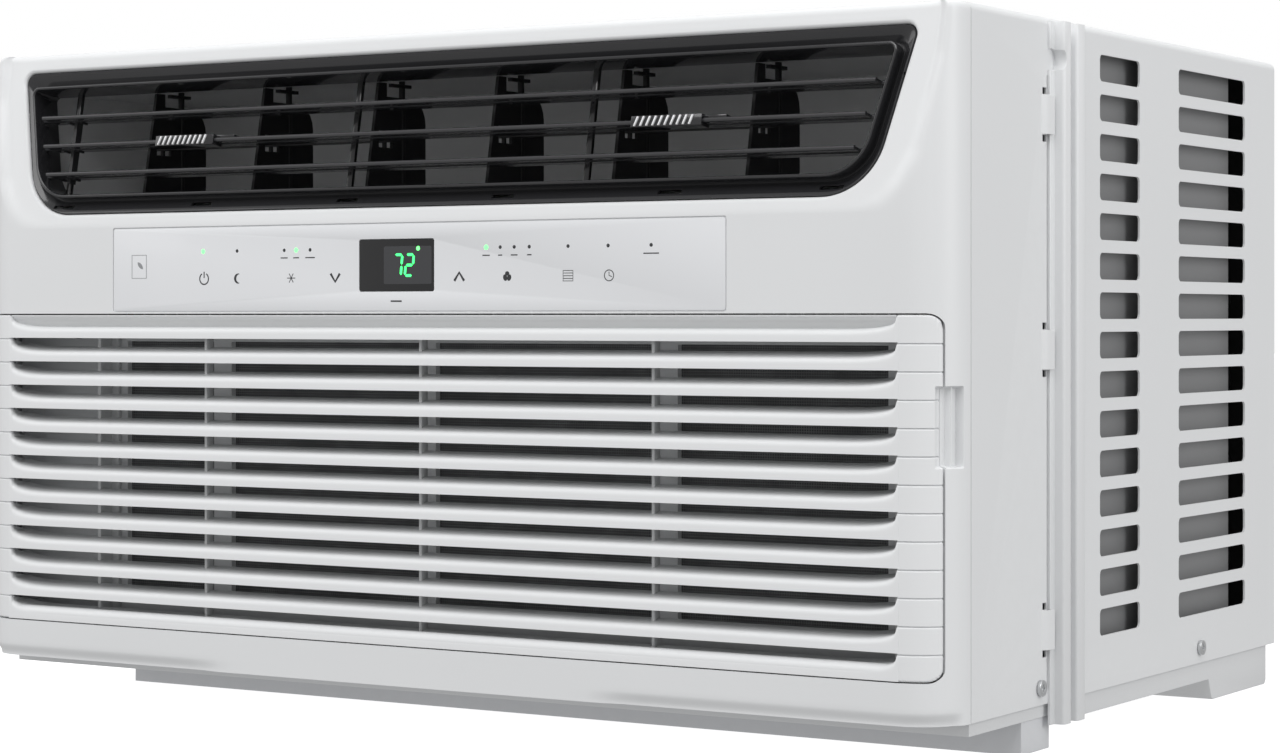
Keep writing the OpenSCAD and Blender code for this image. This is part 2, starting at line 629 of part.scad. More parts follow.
// --- controls ---
module control_film() seat() color("whitesmoke") difference() {
    block(film_x0, film_x1, 0.1, 0.1 + film_t, grille_z1 + 1.2, grille_z1 + 42);
    block(window[0] - 0.2, window[1] + 0.2, -1, 3, window[2] - 0.2, window[3] + 0.2);
    for (x = concat(lit_x, dark_x)) translate([x, 0, led_z]) along_y(led_r + 0.15, -1, 2);
}
module display_window() seat() color("black") {
    block(window[0], window[1], 0.1, 1.6, window[2], window[3]);
    difference() {
        block(window[0], window[1], 1.6 - eps, 7, window[2], window[3]);
        block(window[0] + 1.5, window[1] - 1.5, 1.6, 8, window[2] + 1.5, window[3] - 1.5);
    }
}
module display_digits() seat() color("lime") {
    block(window[0] + 4, window[1] - 4, 4, board_y - gap, window[2] + 4, window[3] - 4);
}
module control_board() seat() color("darkgreen") {
    difference() {
        block(film_x0 + 30, film_x1 - 17, board_y, board_y + 1.6, grille_z1 + 4, grille_z1 + 40);
        for (s = [film_x0 + 36, film_x1 - 23]) translate([s, 0, grille_z1 + 8]) along_y(1.6, 5, 20);
    }
    for (k = key_at) {
        block(k[0] - 3, k[0] + 3, switch_top + 0.6, board_y + eps, key_z - 3, key_z + 3);
        translate([k[0], 0, key_z]) along_y(1.7, switch_top, switch_top + 1);
    }
    block(40, 62, board_y + 1.6 - eps, board_y + 4.6, grille_z1 + 14, grille_z1 + 30);
    block(-60, -46, board_y + 1.6 - eps, board_y + 5, grille_z1 + 18, grille_z1 + 26);
}
module led_row(xs) for (x = xs) translate([x, 0, led_z]) {
    along_y(led_r, 0.6, 6);
    along_y(1.5, 3.5, board_y - gap);
}
module leds_lit() seat() color("lime") led_row(lit_x);
module leds_dark() seat() color("black") led_row(dark_x);
module key(i) seat() color("white") {
    k = key_at[i];
    flange_y = wall + 0.1;
    block(k[0] - k[1] / 2, k[0] + k[1] / 2, film_t + 0.2, flange_y + eps, key_z - key_h / 2, key_z + key_h / 2);
    block(k[0] - k[1] / 2 - 1, k[0] + k[1] / 2 + 1, flange_y, flange_y + 0.8, key_z - key_h / 2 - 1, key_z + key_h / 2 + 1);
    translate([k[0], 0, key_z]) along_y(1.5, flange_y + 0.7, switch_top - key_travel - 0.1);
}
module key_power() key(0);
module key_sleep() key(1);
module key_mode() key(2);
module key_down() key(3);
module key_up() key(4);
module key_fan() key(5);
module key_filter() key(6);
module key_timer() key(7);

// --- indoor side ---
module evaporator_cover() seat() color("lightgray") difference() {
    block(-half_w + 4.5, filter_x0 + 3, 27, 29, case_foot + 14, grille_z1);
    for (i = [0:5]) block(-half_w + 40, -half_w + 45.5, 26, 30, grille_z1 - 12 - i * 2 * slat_pitch, grille_z1 - 6 - i * 2 * slat_pitch);
}
// fin block: a thin web with upright fins on it
module fins(x0, x1, y0, y1, z0, z1, web_y0, web_y1, pitch) {
    n = floor((x1 - x0 - 1.2) / pitch);
    step = (x1 - x0 - 1.2) / n;
    translate([0, 0, z0]) linear_extrude(z1 - z0) {
        translate([x0, web_y0]) square([x1 - x0, web_y1 - web_y0]);
        for (i = [0:n]) translate([x0 + i * step, y0]) square([1.2, y1 - y0]);
    }
}
evap_z0 = floor_front + 8;
module evaporator_fins() seat() color("silver")
    fins(evap_x0, evap_x1, evap_y, evap_y + evap_d, evap_z0, evap_z1, evap_y + evap_d - 2, evap_y + evap_d, 7);
// end plates and return bends of a coil
module coil_ends(x0, x1, y0, d, z0, z1, pitch) {
    block(x0 - 1, x0, y0, y0 + d, z0, z1);
    block(x1, x1 + 1, y0, y0 + d, z0, z1);
    n = floor((z1 - z0 - 2 * pitch) / (2 * pitch));
    bend_r = pitch / 2;
    for (i = [0:n - 1], s = [-1, 1]) {
        zc = z0 + pitch * (s > 0 ? 1 : 2) + i * 2 * pitch;
        translate([s > 0 ? x1 + 1 : x0 - 1, y0 + d / 2, zc]) scale([s, 1, 1]) {
            for (k = [-1, 1]) translate([-eps, 0, k * bend_r]) along_x(tube_r, 0, 3);
            translate([3 - eps, 0, 0]) rotate([90, 0, 0]) rotate_extrude(angle = 180, start = -90) translate([bend_r, 0]) circle(r = tube_r);
        }
    }
}
module evaporator_tubes() seat() color("peru") coil_ends(evap_x0, evap_x1, evap_y, evap_d, evap_z0, evap_z1, 21);
module drain_tray() seat() color("gray") difference() {
    block(evap_x0 - 4, evap_x1 + 4, evap_y - 4, evap_y + evap_d + 4, floor_front + 2, floor_front + 14);
    block(evap_x0 - 2, evap_x1 + 2, evap_y - 2, evap_y + evap_d + 2, floor_front + 4, floor_front + 15);
}
module blower_housing() seat() color("gray") difference() {
    top = duct_z0 - duct_wall - gap;
    union() {
        translate([fan_x, 0, fan_z]) along_y(scroll_r, scroll_y0 - 2, scroll_y1);
        block(fan_x - scroll_r, fan_x + scroll_r, scroll_y0 - 2, scroll_y1, fan_z, top);
    }
    translate([fan_x, 0, fan_z]) along_y(scroll_r - 2, scroll_y0, scroll_y1 - 2);
    block(fan_x - scroll_r + 2, fan_x + scroll_r - 2, scroll_y0, scroll_y1 - 2, fan_z, top + 1);
    translate([fan_x, 0, fan_z]) along_y(wheel_r - 16, scroll_y0 - 5, scroll_y0 + 5);
    translate([fan_x, 0, fan_z]) along_y(14, scroll_y1 - 5, scroll_y1 + 5);
    // the scroll never rises past the underside of the duct
    block(fan_x - scroll_r - 1, fan_x + scroll_r + 1, scroll_y0 - 3, scroll_y1 + 1, top, max(top, fan_z + scroll_r) + 2);
}
module blower_wheel() seat() color("dimgray") translate([fan_x, scroll_y0 + 5, fan_z]) difference() {
    union() {
        along_y(wheel_r, wheel_d - 2, wheel_d);
        along_y(14, wheel_d - 20, wheel_d - 1);
        difference() { along_y(wheel_r, 0, 3); along_y(wheel_r - 9, -1, 4); }
        for (i = [0:29]) rotate([0, i * 12, 0]) translate([wheel_r - 9, 0, 0]) rotate([0, 30, 0])
            block(0.5, 8, 1, wheel_d - 1, -0.6, 0.6);
    }
    along_y(shaft_r, -1, wheel_d + 1);
}
module motor_shaft() seat() color("silver") translate([fan_x, 0, fan_z])
    along_y(shaft_r, scroll_y0 + 5 + wheel_d - 22, fan_y + fan_d + 4);
module fan_motor() seat() color("darkslategray") translate([fan_x, 0, fan_z]) difference() {
    union() {
        along_y(motor_r, motor_y, motor_y + motor_len);
        along_y(20, motor_y - 6, motor_y + motor_len + 6);
        for (a = [45:90:315]) rotate([0, a, 0]) block(motor_r - 3, motor_r + 7, motor_y, motor_y + 4, -5, 5);
    }
    along_y(shaft_r + pin_gap, motor_y - 8, motor_y + motor_len + 8);
    for (a = [45:90:315]) rotate([0, a, 0]) translate([motor_r + 2.5, 0, 0]) along_y(2.1, motor_y - 1, motor_y + 6);
}
module motor_bracket() seat() color("silver") {
    y = motor_y - sheet * 2;
    base = floor_mid + sheet;
    difference() {
        block(fan_x - 62, fan_x + 62, y, motor_y, base, fan_z + 52);
        translate([fan_x, 0, fan_z]) {
            along_y(22, y - 1, motor_y + 1);
            for (a = [45:90:315]) rotate([0, a, 0]) translate([motor_r + 2.5, 0, 0]) along_y(2.1, y - 1, motor_y + 1);
        }
    }
    block(fan_x - 62, fan_x + 62, motor_y - eps, motor_y + 25, base, base + 2);
}
module partition() seat() color("lightgray") {
    w = half_w - sheet - 1;
    z1 = case_top - sheet - 1;
    difference() {
        block(-w, w, part_y, part_y + sheet, floor_mid + sheet + 0.2, z1);
        block(-w - 1, -w + 2.5, part_y - 1, part_y + 3, 0, case_foot + 13);
        block(w - 2.5, w + 1, part_y - 1, part_y + 3, 0, case_foot + 13);
        translate([fan_x, 0, fan_z]) along_y(12, part_y - 1, part_y + 3);
        block(-half_w + 44, -half_w + 84, part_y - 1, part_y + 3, evap_z1 - 14, evap_z1 + 8);
    }
    // return wall that shields the side vents nearest the front
    block(w - 7, w - 6, part_y + sheet - eps, part_y + 68, case_foot + 15, z1 - 4);
}

// --- outdoor side ---
module condenser_fan() seat() color("dimgray") translate([fan_x, fan_y, fan_z]) difference() {
    union() {
        along_y(18, 0, fan_d);
        difference() { along_y(slinger_r, 4, fan_d); along_y(slinger_r - 2.5, 3, fan_d + 1); }
        intersection() {
            difference() { along_y(slinger_r - 2, 1, fan_d - 1); along_y(17, -1, fan_d + 1); }
            for (i = [0:4]) rotate([0, i * 72, 0]) translate([65, fan_d / 2, 0]) rotate([24, 0, 0])
                block(-52, 52, -1, 1, -32, 32);
        }
    }
    along_y(shaft_r, -1, fan_d + 1);
}
module fan_shroud() seat() color("gray") {
    x0 = fan_x - slinger_r - 12;
    x1 = cond_x1;
    z1 = cond_z1;
    ring = slinger_r + 6;
    base = case_foot + 13;
    translate([fan_x, 0, fan_z]) difference() {
        along_y(ring + 2, shroud_y - 22, shroud_y);
        along_y(ring, shroud_y - 23, shroud_y + 3);
        block(-200, 200, 0, case_d, -200, base - fan_z);
    }
    difference() {
        block(x0, x1, shroud_y - 2, cond_y - 1, base, z1);
        block(x0 + 2, x1 - 2, shroud_y, cond_y, base + 2, z1 - 2);
        translate([fan_x, 0, fan_z]) along_y(ring, shroud_y - 5, shroud_y + 3);
        block(fan_x - 60, fan_x + 60, shroud_y - 5, shroud_y + 3, base - 5, base + 8);
    }
}
module condenser_fins() seat() color("silver")
    fins(cond_x0, cond_x1, cond_y, cond_y + cond_d, cond_z0, cond_z1, cond_y, cond_y + 2, 7);
module condenser_tubes() seat() color("peru") coil_ends(cond_x0, cond_x1, cond_y, cond_d, cond_z0, cond_z1, 22);
comp_z = floor_mid + sheet + 10;
module compressor() seat() color("black") translate([comp_x, comp_y, 0]) difference() {
    union() {
        translate([0, 0, comp_z]) rotate_extrude() polygon(concat(
            [[0, 3], [comp_r - 4, 3], [comp_r, 8], [comp_r, comp_h - 30]],
            arc(comp_r - 28, comp_h - 30, 28, 0, 90, 8), [[0, comp_h - 2]]));
        // foot plate
        translate([0, 0, comp_z]) linear_extrude(3.5) for (a = [0:120:240]) rotate(a + 30)
            translate([0, -16]) square([comp_r + 17, 32]);
        translate([comp_r - 22, 0, comp_z + comp_h - 6]) cylinder(r = tube_r + 1.5, h = 10);
    }
    for (a = [0:120:240]) rotate(a + 30) translate([comp_r + 8, 0, comp_z - 1]) cylinder(r = 5, h = 6);
    difference() {
        translate([0, 0, comp_z - 1]) cylinder(r = comp_r - 4, h = comp_h - 40);
        translate([0, 0, comp_z + 20]) cylinder(r = comp_r - 18, h = comp_h);
    }
    translate([comp_r - 22, 0, comp_z + comp_h - 7]) cylinder(r = tube_r, h = 12);
}
module compressor_mounts() seat() translate([comp_x, comp_y, 0]) for (a = [0:120:240]) rotate(a + 30)
    translate([comp_r + 8, 0, floor_mid + sheet]) {
        color("dimgray") difference() {
            union() {
                cylinder(r = 9, h = 10);
                cylinder(r = 4.8, h = 16);
                translate([0, 0, 13.7]) cylinder(r = 7, h = 3);
            }
            translate([0, 0, -1]) cylinder(r = 2.6, h = 20);
        }
        color("silver") { cylinder(r = 2.5, h = 18); translate([0, 0, 16.9]) cylinder(r = 5, h = 4, $fn = 6); }
    }
// pipe along a list of points, with a brazed bead at each bend
module pipe(points, r) for (i = [0:len(points) - 2]) {
    a = points[i];
    b = points[i + 1];
    d = b - a;
    translate(a) rotate([0, acos(d[2] / norm(d)), atan2(d[1], d[0])]) cylinder(r = r, h = norm(d));
    if (i > 0) translate(a) sphere(r = r + 0.4, $fn = 32);
}
module refrigerant_pipes() seat() color("peru") {
    pz = evap_z1 - 3;
    suction_x = -half_w + 74;
    liquid_x = suction_x - 14;
    drier = [-half_w + 13.5, part_y + 54];
    coil_y = cond_y + cond_d / 2;
    evap_mid = evap_y + evap_d / 2;
    top_z = comp_z + comp_h;
    gas_z = min(top_z + 58, cond_z1 - 20);
    // where the duct is low the lines pass in front of the compressor, else over it
    over = pz - 6 > top_z + 2 * tube_r;
    front_y = comp_y - comp_r - 10;
    stub_x = comp_x + comp_r - 22;
    // suction line from the evaporator
    pipe(concat([[stub_x, comp_y, top_z - 5]],
        over ? [[stub_x, comp_y, pz + 5], [suction_x, comp_y, pz + 5]]
        : [[stub_x, comp_y, top_z + 10], [stub_x, front_y, top_z + 10], [stub_x, front_y, pz + 5], [suction_x, front_y, pz + 5]],
        [[suction_x, evap_mid, pz + 5],
        [suction_x, evap_mid, evap_z1 - 12],
        [evap_x0 - 1.1, evap_mid, evap_z1 - 12]]), tube_r - 0.2);
    // hot gas line to the condenser
    pipe([
        [comp_x, comp_y, top_z - 1.5],
        [comp_x, comp_y, gas_z],
        [cond_x0 - 11, comp_y, gas_z],
        [cond_x0 - 11, coil_y, gas_z],
        [cond_x0 - 1.1, coil_y, gas_z]], tube_r - 1);
    // liquid line: condenser, filter drier, then the fine tube to the evaporator
    pipe([
        [cond_x0 - 1.1, coil_y, cond_z0 + 11],
        [drier[0], coil_y, cond_z0 + 11],
        [drier[0], drier[1], cond_z0 + 11],
        [drier[0], drier[1], pz - 129]], 2);
    translate([drier[0], drier[1], pz - 130]) cylinder(r = 9, h = 72);
    pipe(concat([[drier[0], drier[1], pz - 59], [drier[0], drier[1], pz - 6]],
        over ? [[liquid_x, drier[1], pz - 6]] : [[drier[0], front_y, pz - 6], [liquid_x, front_y, pz - 6]],
        [[liquid_x, evap_mid, pz - 6],
        [liquid_x, evap_mid, pz - 40],
        [evap_x0 - 1.1, evap_mid, pz - 40]]), 1.5);
}
box_x1 = -half_w + 57;
box_z0 = 76;
cap_h = 62;
cap_pin = 8;
box_z1 = max(evap_z1 - 30, box_z0 + cap_h + cap_pin + 5);
module control_box() seat() color("silver") difference() {
    block(-half_w + 5, box_x1, evap_y, part_y - 12, box_z0, box_z1);
    block(-half_w + 6, box_x1 - 1, evap_y - 1, part_y - 13, box_z0 + 1, box_z1 - 1);
}
module run_capacitor() seat() color("lightsteelblue") {
    y = (evap_y + part_y) / 2;
    translate([(box_x1 - half_w + 5) / 2, y, box_z0 + 1]) {
        cylinder(r = 20, h = cap_h);
        for (s = [-1, 1]) translate([s * 7, 0, cap_h - eps]) cylinder(r = 1.5, h = cap_pin);
    }
}
module cord_gland() seat() color("black") translate([0, gland_at[0], gland_at[1]]) difference() {
    union() {
        along_x(gland_r + 2.4, -half_w - 3, -half_w + 4);
        along_x(gland_r + 4.5, -half_w - 3, -half_w - gap);
        along_x(gland_r + 4.5, -half_w + sheet + gap, -half_w + 4);
    }
    along_x(gland_r, -half_w - 4, -half_w + 5);
}
module case_screws() seat() color("silver") mirror_copy() for (p = screw_at) translate([0, p[0], p[1]]) {
    along_x(screw_r - 0.05, half_w - 9, half_w + eps);
    difference() {
        union() {
            along_x(4.6, half_w + 0.05, half_w + 1.4);
            along_x(3.4, half_w + 1.3, half_w + 2.4);
        }
        block(half_w + 1.6, half_w + 4, -0.5, 0.5, -2.4, 2.4);
        block(half_w + 1.6, half_w + 4, -2.4, 2.4, -0.5, 0.5);
    }
}

base_pan();
bottom_rail();
cabinet();
side_rail_left();
side_rail_right();
front_bezel();
intake_grille();
filter_frame();
filter_mesh();
louver_frame();
discharge_duct();
blade_upper();
blade_middle();
blade_lower();
blade_link();
vane_1();
vane_2();
vane_3();
vane_4();
vane_5();
vane_6();
vane_link_left();
vane_link_right();
vane_tab_left();
vane_tab_right();
control_film();
display_window();
display_digits();
control_board();
leds_lit();
leds_dark();
key_power();
key_sleep();
key_mode();
key_down();
key_up();
key_fan();
key_filter();
key_timer();
evaporator_cover();
evaporator_fins();
evaporator_tubes();
drain_tray();
blower_housing();
blower_wheel();
motor_shaft();
fan_motor();
motor_bracket();
partition();
condenser_fan();
fan_shroud();
condenser_fins();
condenser_tubes();
compressor();
compressor_mounts();
refrigerant_pipes();
control_box();
run_capacitor();
cord_gland();
case_screws();
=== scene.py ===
# %% [markdown]
# # A window air conditioner, modelled round its CAD frame
# The frame holds every real part of the unit: steel case, plastic front, louvers, fans and coils.
# This lesson keeps that frame still and dresses it. Each outer piece is modelled again with the
# soft edges that pressed steel and moulded plastic have, and every part gets a finish.
# All sizes are in millimetres, measured from the middle of the unit, back from the flat front and
# up from the sill, and one matrix moves them to the frame's own metres.

# %% Load the frame
import math

import bpy
from mathutils import Matrix, Vector


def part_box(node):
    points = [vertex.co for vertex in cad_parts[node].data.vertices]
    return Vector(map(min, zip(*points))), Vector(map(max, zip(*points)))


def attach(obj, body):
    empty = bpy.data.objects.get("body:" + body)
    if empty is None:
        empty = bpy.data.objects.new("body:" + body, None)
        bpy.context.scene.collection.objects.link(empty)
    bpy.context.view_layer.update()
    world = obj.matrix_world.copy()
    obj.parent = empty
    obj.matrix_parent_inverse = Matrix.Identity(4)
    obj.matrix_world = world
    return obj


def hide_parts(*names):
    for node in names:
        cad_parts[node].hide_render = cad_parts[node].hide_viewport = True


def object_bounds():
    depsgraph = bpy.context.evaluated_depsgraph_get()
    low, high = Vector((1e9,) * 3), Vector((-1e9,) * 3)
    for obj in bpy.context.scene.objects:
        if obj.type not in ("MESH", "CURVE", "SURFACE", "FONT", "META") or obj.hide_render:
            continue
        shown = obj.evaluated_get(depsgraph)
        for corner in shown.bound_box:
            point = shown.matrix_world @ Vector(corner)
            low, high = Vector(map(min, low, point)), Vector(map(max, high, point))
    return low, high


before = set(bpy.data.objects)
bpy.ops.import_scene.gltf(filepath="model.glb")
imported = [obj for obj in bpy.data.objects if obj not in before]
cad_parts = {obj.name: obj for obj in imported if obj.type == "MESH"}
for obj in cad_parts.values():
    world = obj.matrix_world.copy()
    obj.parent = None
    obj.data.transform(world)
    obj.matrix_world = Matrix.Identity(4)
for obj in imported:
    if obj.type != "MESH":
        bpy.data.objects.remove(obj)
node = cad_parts
cad_lo, cad_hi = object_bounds()

# %% Sizes that the pieces share
MM = 0.001
front_lo, front_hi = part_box("front_bezel")
panel_lo, panel_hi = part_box("intake_grille")
HALF_W = front_hi.x / MM
FRONT_Y = front_lo.y
FRONT_D = (front_hi.y - front_lo.y) / MM
TOP = front_hi.z / MM
FOOT = front_lo.z / MM
BACK = (cad_hi.y - FRONT_Y) / MM
SEAT = Matrix.Translation((0, FRONT_Y, 0))

BAND_H, LEAN_MM = 87.5, 16.0
BAND_Z = TOP - BAND_H
LEAN = math.atan(LEAN_MM / BAND_H)
BAND_V = BAND_H / math.cos(LEAN)
BAND = SEAT @ Matrix.Translation((0, 0, BAND_Z * MM)) @ Matrix.Rotation(-LEAN, 4, "X")
CORNER_R = 23.5
FLAT_HW = HALF_W - CORNER_R
WALL = 2.5
SEAM = 0.35
GRILLE_Z1 = panel_hi.z / MM + 0.3
GRILLE_Z0 = panel_lo.z / MM - 0.3
PITCH = 11.7
SLATS = round((GRILLE_Z1 - GRILLE_Z0) / PITCH)
SLAT_FACE = 5.2
SLAT_HW = 248.0
PANEL_HW = HALF_W - 4.8
print(f"front {2 * HALF_W:.0f} wide, {TOP - FOOT:.1f} high;",
      f"{SLATS} slats from {GRILLE_Z0:.1f} to {GRILLE_Z1:.1f}")

# %% [markdown]
# ## Hand tools
# Blender's operators work on whatever is selected, so each helper first deselects everything.
# A primitive is added at its size, shaped in edit mode, and its place is put into its mesh, so the
# object itself stays at the origin and a pattern on Object coordinates lies still on it.

# %% Pick one object and shape it
def only(*objs):
    bpy.ops.object.select_all(action="DESELECT")
    for o in objs:
        o.select_set(True)
    bpy.context.view_layer.objects.active = objs[0]


def named(name):
    obj = bpy.context.object
    obj.name = obj.data.name = name
    return obj


def modify(obj, kind, **settings):
    only(obj)
    m = obj.modifiers.new(kind, kind)
    for key, value in settings.items():
        setattr(m, key, value)
    bpy.ops.object.modifier_apply(modifier=m.name)
    return obj


def edit(obj, *moves):
    """Runs mesh operators in edit mode, starting with everything selected."""
    only(obj)
    bpy.ops.object.mode_set(mode="EDIT")
    bpy.ops.mesh.select_all(action="SELECT")
    for move, settings in moves:
        move(**settings)
    bpy.ops.object.mode_set(mode="OBJECT")
    return obj


def block(name, x, y, z, place=SEAT):
    """A box between pairs of sizes, ready to be bevelled or cut."""
    bpy.ops.object.select_all(action="DESELECT")
    bpy.ops.mesh.primitive_cube_add(size=1)
    obj = named(name)
    for v in obj.data.vertices:
        v.co = [(a + (b - a) * (c + 0.5)) * MM for (a, b), c in zip((x, y, z), v.co)]
    obj.data.transform(place)
    return obj


def rod(name, radius, at, axis, length, sides=40, place=SEAT):
    """A round bar that starts at a point and runs along an axis."""
    bpy.ops.object.select_all(action="DESELECT")
    bpy.ops.mesh.primitive_cylinder_add(vertices=sides, radius=radius * MM, depth=length * MM)
    obj = named(name)
    turns = {"X": Matrix.Rotation(math.pi / 2, 4, "Y"), "Y": Matrix.Rotation(-math.pi / 2, 4, "X"),
             "Z": Matrix()}
    obj.data.transform(turns[axis] @ Matrix.Translation((0, 0, length * MM / 2)))
    obj.data.transform(place @ Matrix.Translation(Vector(at) * MM))
    return obj


def prism(name, outline, axis, span, place=SEAT):
    """A flat outline, filled and extruded along X, Y or Z."""
    bpy.ops.object.select_all(action="DESELECT")
    bpy.ops.mesh.primitive_circle_add(vertices=len(outline), fill_type="NGON")
    obj = named(name)
    a, b = span
    spread = {"X": lambda p: (a, *p), "Y": lambda p: (p[0], a, p[1]), "Z": lambda p: (*p, a)}[axis]
    for v, p in zip(obj.data.vertices, outline):
        v.co = Vector(spread(p)) * MM
    step = Vector([(b - a) * MM if axis == k else 0 for k in "XYZ"])
    outward(edit(obj, (bpy.ops.mesh.extrude_region_move, {"TRANSFORM_OT_translate": {"value": step}})))
    obj.data.transform(place)
    return obj


def outward(obj, merge=0.00002):
    """Doubles merged first, then all faces turned outwards."""
    return edit(obj, (bpy.ops.mesh.remove_doubles, {"threshold": merge}),
                (bpy.ops.mesh.normals_make_consistent, {"inside": False}))


def close_ends(obj, merge=0.000005):
    """Merges the seam of a lofted tube and fills the holes at its ends."""
    return edit(obj, (bpy.ops.mesh.remove_doubles, {"threshold": merge}),
                (bpy.ops.mesh.select_all, {"action": "DESELECT"}),
                (bpy.ops.mesh.select_non_manifold, {"extend": False}),
                (bpy.ops.mesh.fill_holes, {"sides": 0}))


def soften(obj, width, segments=3, angle=35):
    """A small rounded edge wherever two faces meet at more than an angle."""
    return modify(obj, "BEVEL", width=width * MM, segments=segments, limit_method="ANGLE",
                  angle_limit=math.radians(angle), harden_normals=False)


def join(name, *parts):
    parts = [p for p in parts if p]
    only(*parts)
    bpy.ops.object.join()
    return named(name)


def cut(obj, *tools):
    """Takes the tools' shapes out of a piece. Many tools, which mustn't touch, go in one cut."""
    for tool in [join("tool", *tools)] if len(tools) > 4 else tools:
        modify(obj, "BOOLEAN", operation="DIFFERENCE", solver="EXACT", object=tool)
        bpy.data.objects.remove(tool)
    return obj


def smooth(obj, angle=32):
    only(obj)
    bpy.ops.object.shade_smooth_by_angle(angle=math.radians(angle))
    return obj


def mirror_x(obj, name):
    """The same piece on the other side, as its own mesh."""
    only(obj)
    bpy.ops.object.duplicate()
    other = named(name)
    other.data.transform(Matrix.Scale(-1, 4, (1, 0, 0)))
    return outward(other)


def grid_sheet(name, across, up, point, place=SEAT):
    """A grid primitive whose lines are bent to a surface: point(column, row) gives x, y, z."""
    bpy.ops.object.select_all(action="DESELECT")
    bpy.ops.mesh.primitive_grid_add(x_subdivisions=len(across) - 1, y_subdivisions=len(up) - 1)
    obj = named(name)
    for i, v in enumerate(obj.data.vertices):
        v.co = Vector(point(across[i % len(across)], up[i // len(across)])) * MM
    obj.data.transform(place)
    return obj


def steps(a, b, size):
    n = max(1, round(abs(b - a) / size))
    return [a + (b - a) * i / n for i in range(n + 1)]


def ease(t):
    t = max(0.0, min(1.0, t))
    return t * t * (3 - 2 * t)


def arc(cx, cy, r, a0, a1, n):
    turn = [math.radians(a0 + (a1 - a0) * i / n) for i in range(n + 1)]
    return [(cx + r * math.cos(t), cy + r * math.sin(t)) for t in turn]


def rounded(x0, x1, z0, z1, r, n=6):
    """Outline of a rectangle with round corners."""
    return (arc(x1 - r, z1 - r, r, 90, 0, n) + arc(x1 - r, z0 + r, r, 0, -90, n)
            + arc(x0 + r, z0 + r, r, -90, -180, n) + arc(x0 + r, z1 - r, r, 180, 90, n))


def done(obj, body, material, replaces=()):
    """Says which body a piece rides on, what it stands for and what it is made of."""
    obj.data.materials.clear()
    obj.data.materials.append(material)
    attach(obj, body)
    if replaces:
        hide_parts(*replaces)
    print(f"{obj.name}: {len(obj.data.polygons)} faces on {body}")
    return obj

# %% [markdown]
# ## Finishes
# Three shader groups serve nearly every finish: `fine_grain` gives the tiny orange peel of powder
# coat and the spark texture of moulded plastic, `wear` finds edges and tired patches, and `dust`
# lets a little grey settle where air is drawn through. They put out masks, colours and normals
# only. The Principled BSDF stays in each material, with its constant values on its own sockets.

# %% Node helpers
def group(name, inputs, outputs):
    g = bpy.data.node_groups.new(name, "ShaderNodeTree")
    for kind, socket, value in inputs:
        s = g.interface.new_socket(name=socket, in_out="INPUT", socket_type=kind)
        if value is not None:
            s.default_value = value
    for kind, socket in outputs:
        g.interface.new_socket(name=socket, in_out="OUTPUT", socket_type=kind)
    return g, g.nodes.new("NodeGroupInput"), g.nodes.new("NodeGroupOutput")


def wire(tree, *pairs):
    for a, b in pairs:
        tree.links.new(a, b)


def add_node(tree, kind, **values):
    n = tree.nodes.new(kind)
    for key, value in values.items():
        if hasattr(n, key):
            setattr(n, key, value)
        else:
            n.inputs[key.replace("_", " ")].default_value = value
    return n


def math_node(tree, operation, a, b=None, clamp=False):
    n = tree.nodes.new("ShaderNodeMath")
    n.operation, n.use_clamp = operation, clamp
    for socket, value in ((n.inputs[0], a), (n.inputs[1], b)):
        if value is None:
            continue
        if isinstance(value, (int, float)):
            socket.default_value = value
        else:
            tree.links.new(value, socket)
    return n.outputs[0]

# %% Fine grain: a normal and a small change of gloss
def make_fine_grain():
    g, i, o = group("fine_grain",
                    [("NodeSocketVector", "Place", None), ("NodeSocketFloat", "Size", 900.0),
                     ("NodeSocketFloat", "Height", 0.12)],
                    [("NodeSocketVector", "Normal"), ("NodeSocketFloat", "Mask")])
    peel = add_node(g, "ShaderNodeTexNoise", Detail=3.0, Roughness=0.55)
    patch = add_node(g, "ShaderNodeTexNoise", Scale=14.0, Detail=2.0)
    bump = add_node(g, "ShaderNodeBump", Distance=0.0003)
    wire(g, (i.outputs["Place"], peel.inputs["Vector"]), (i.outputs["Size"], peel.inputs["Scale"]),
         (i.outputs["Place"], patch.inputs["Vector"]), (i.outputs["Height"], bump.inputs["Strength"]),
         (peel.outputs["Fac"], bump.inputs["Height"]), (bump.outputs["Normal"], o.inputs["Normal"]),
         (patch.outputs["Fac"], o.inputs["Mask"]))
    return g


FINE_GRAIN = make_fine_grain()

# %% Wear: a mask that is 1 on rubbed edges
def make_wear():
    g, i, o = group("wear", [("NodeSocketVector", "Place", None), ("NodeSocketFloat", "Amount", 0.3)],
                    [("NodeSocketFloat", "Edge"), ("NodeSocketFloat", "Smudge")])
    geo = g.nodes.new("ShaderNodeNewGeometry")
    ragged = add_node(g, "ShaderNodeTexNoise", Scale=160.0, Detail=4.0)
    smudge = add_node(g, "ShaderNodeTexNoise", Scale=7.0, Detail=5.0, Roughness=0.7)
    point = math_node(g, "SUBTRACT", geo.outputs["Pointiness"], 0.53)
    point = math_node(g, "MULTIPLY", point, 9.0, clamp=True)
    broken = math_node(g, "MULTIPLY", point, ragged.outputs["Fac"])
    edge = math_node(g, "MULTIPLY", broken, i.outputs["Amount"], clamp=True)
    soft = math_node(g, "MULTIPLY", smudge.outputs["Fac"], i.outputs["Amount"])
    wire(g, (i.outputs["Place"], ragged.inputs["Vector"]), (i.outputs["Place"], smudge.inputs["Vector"]),
         (edge, o.inputs["Edge"]), (soft, o.inputs["Smudge"]))
    return g


WEAR = make_wear()

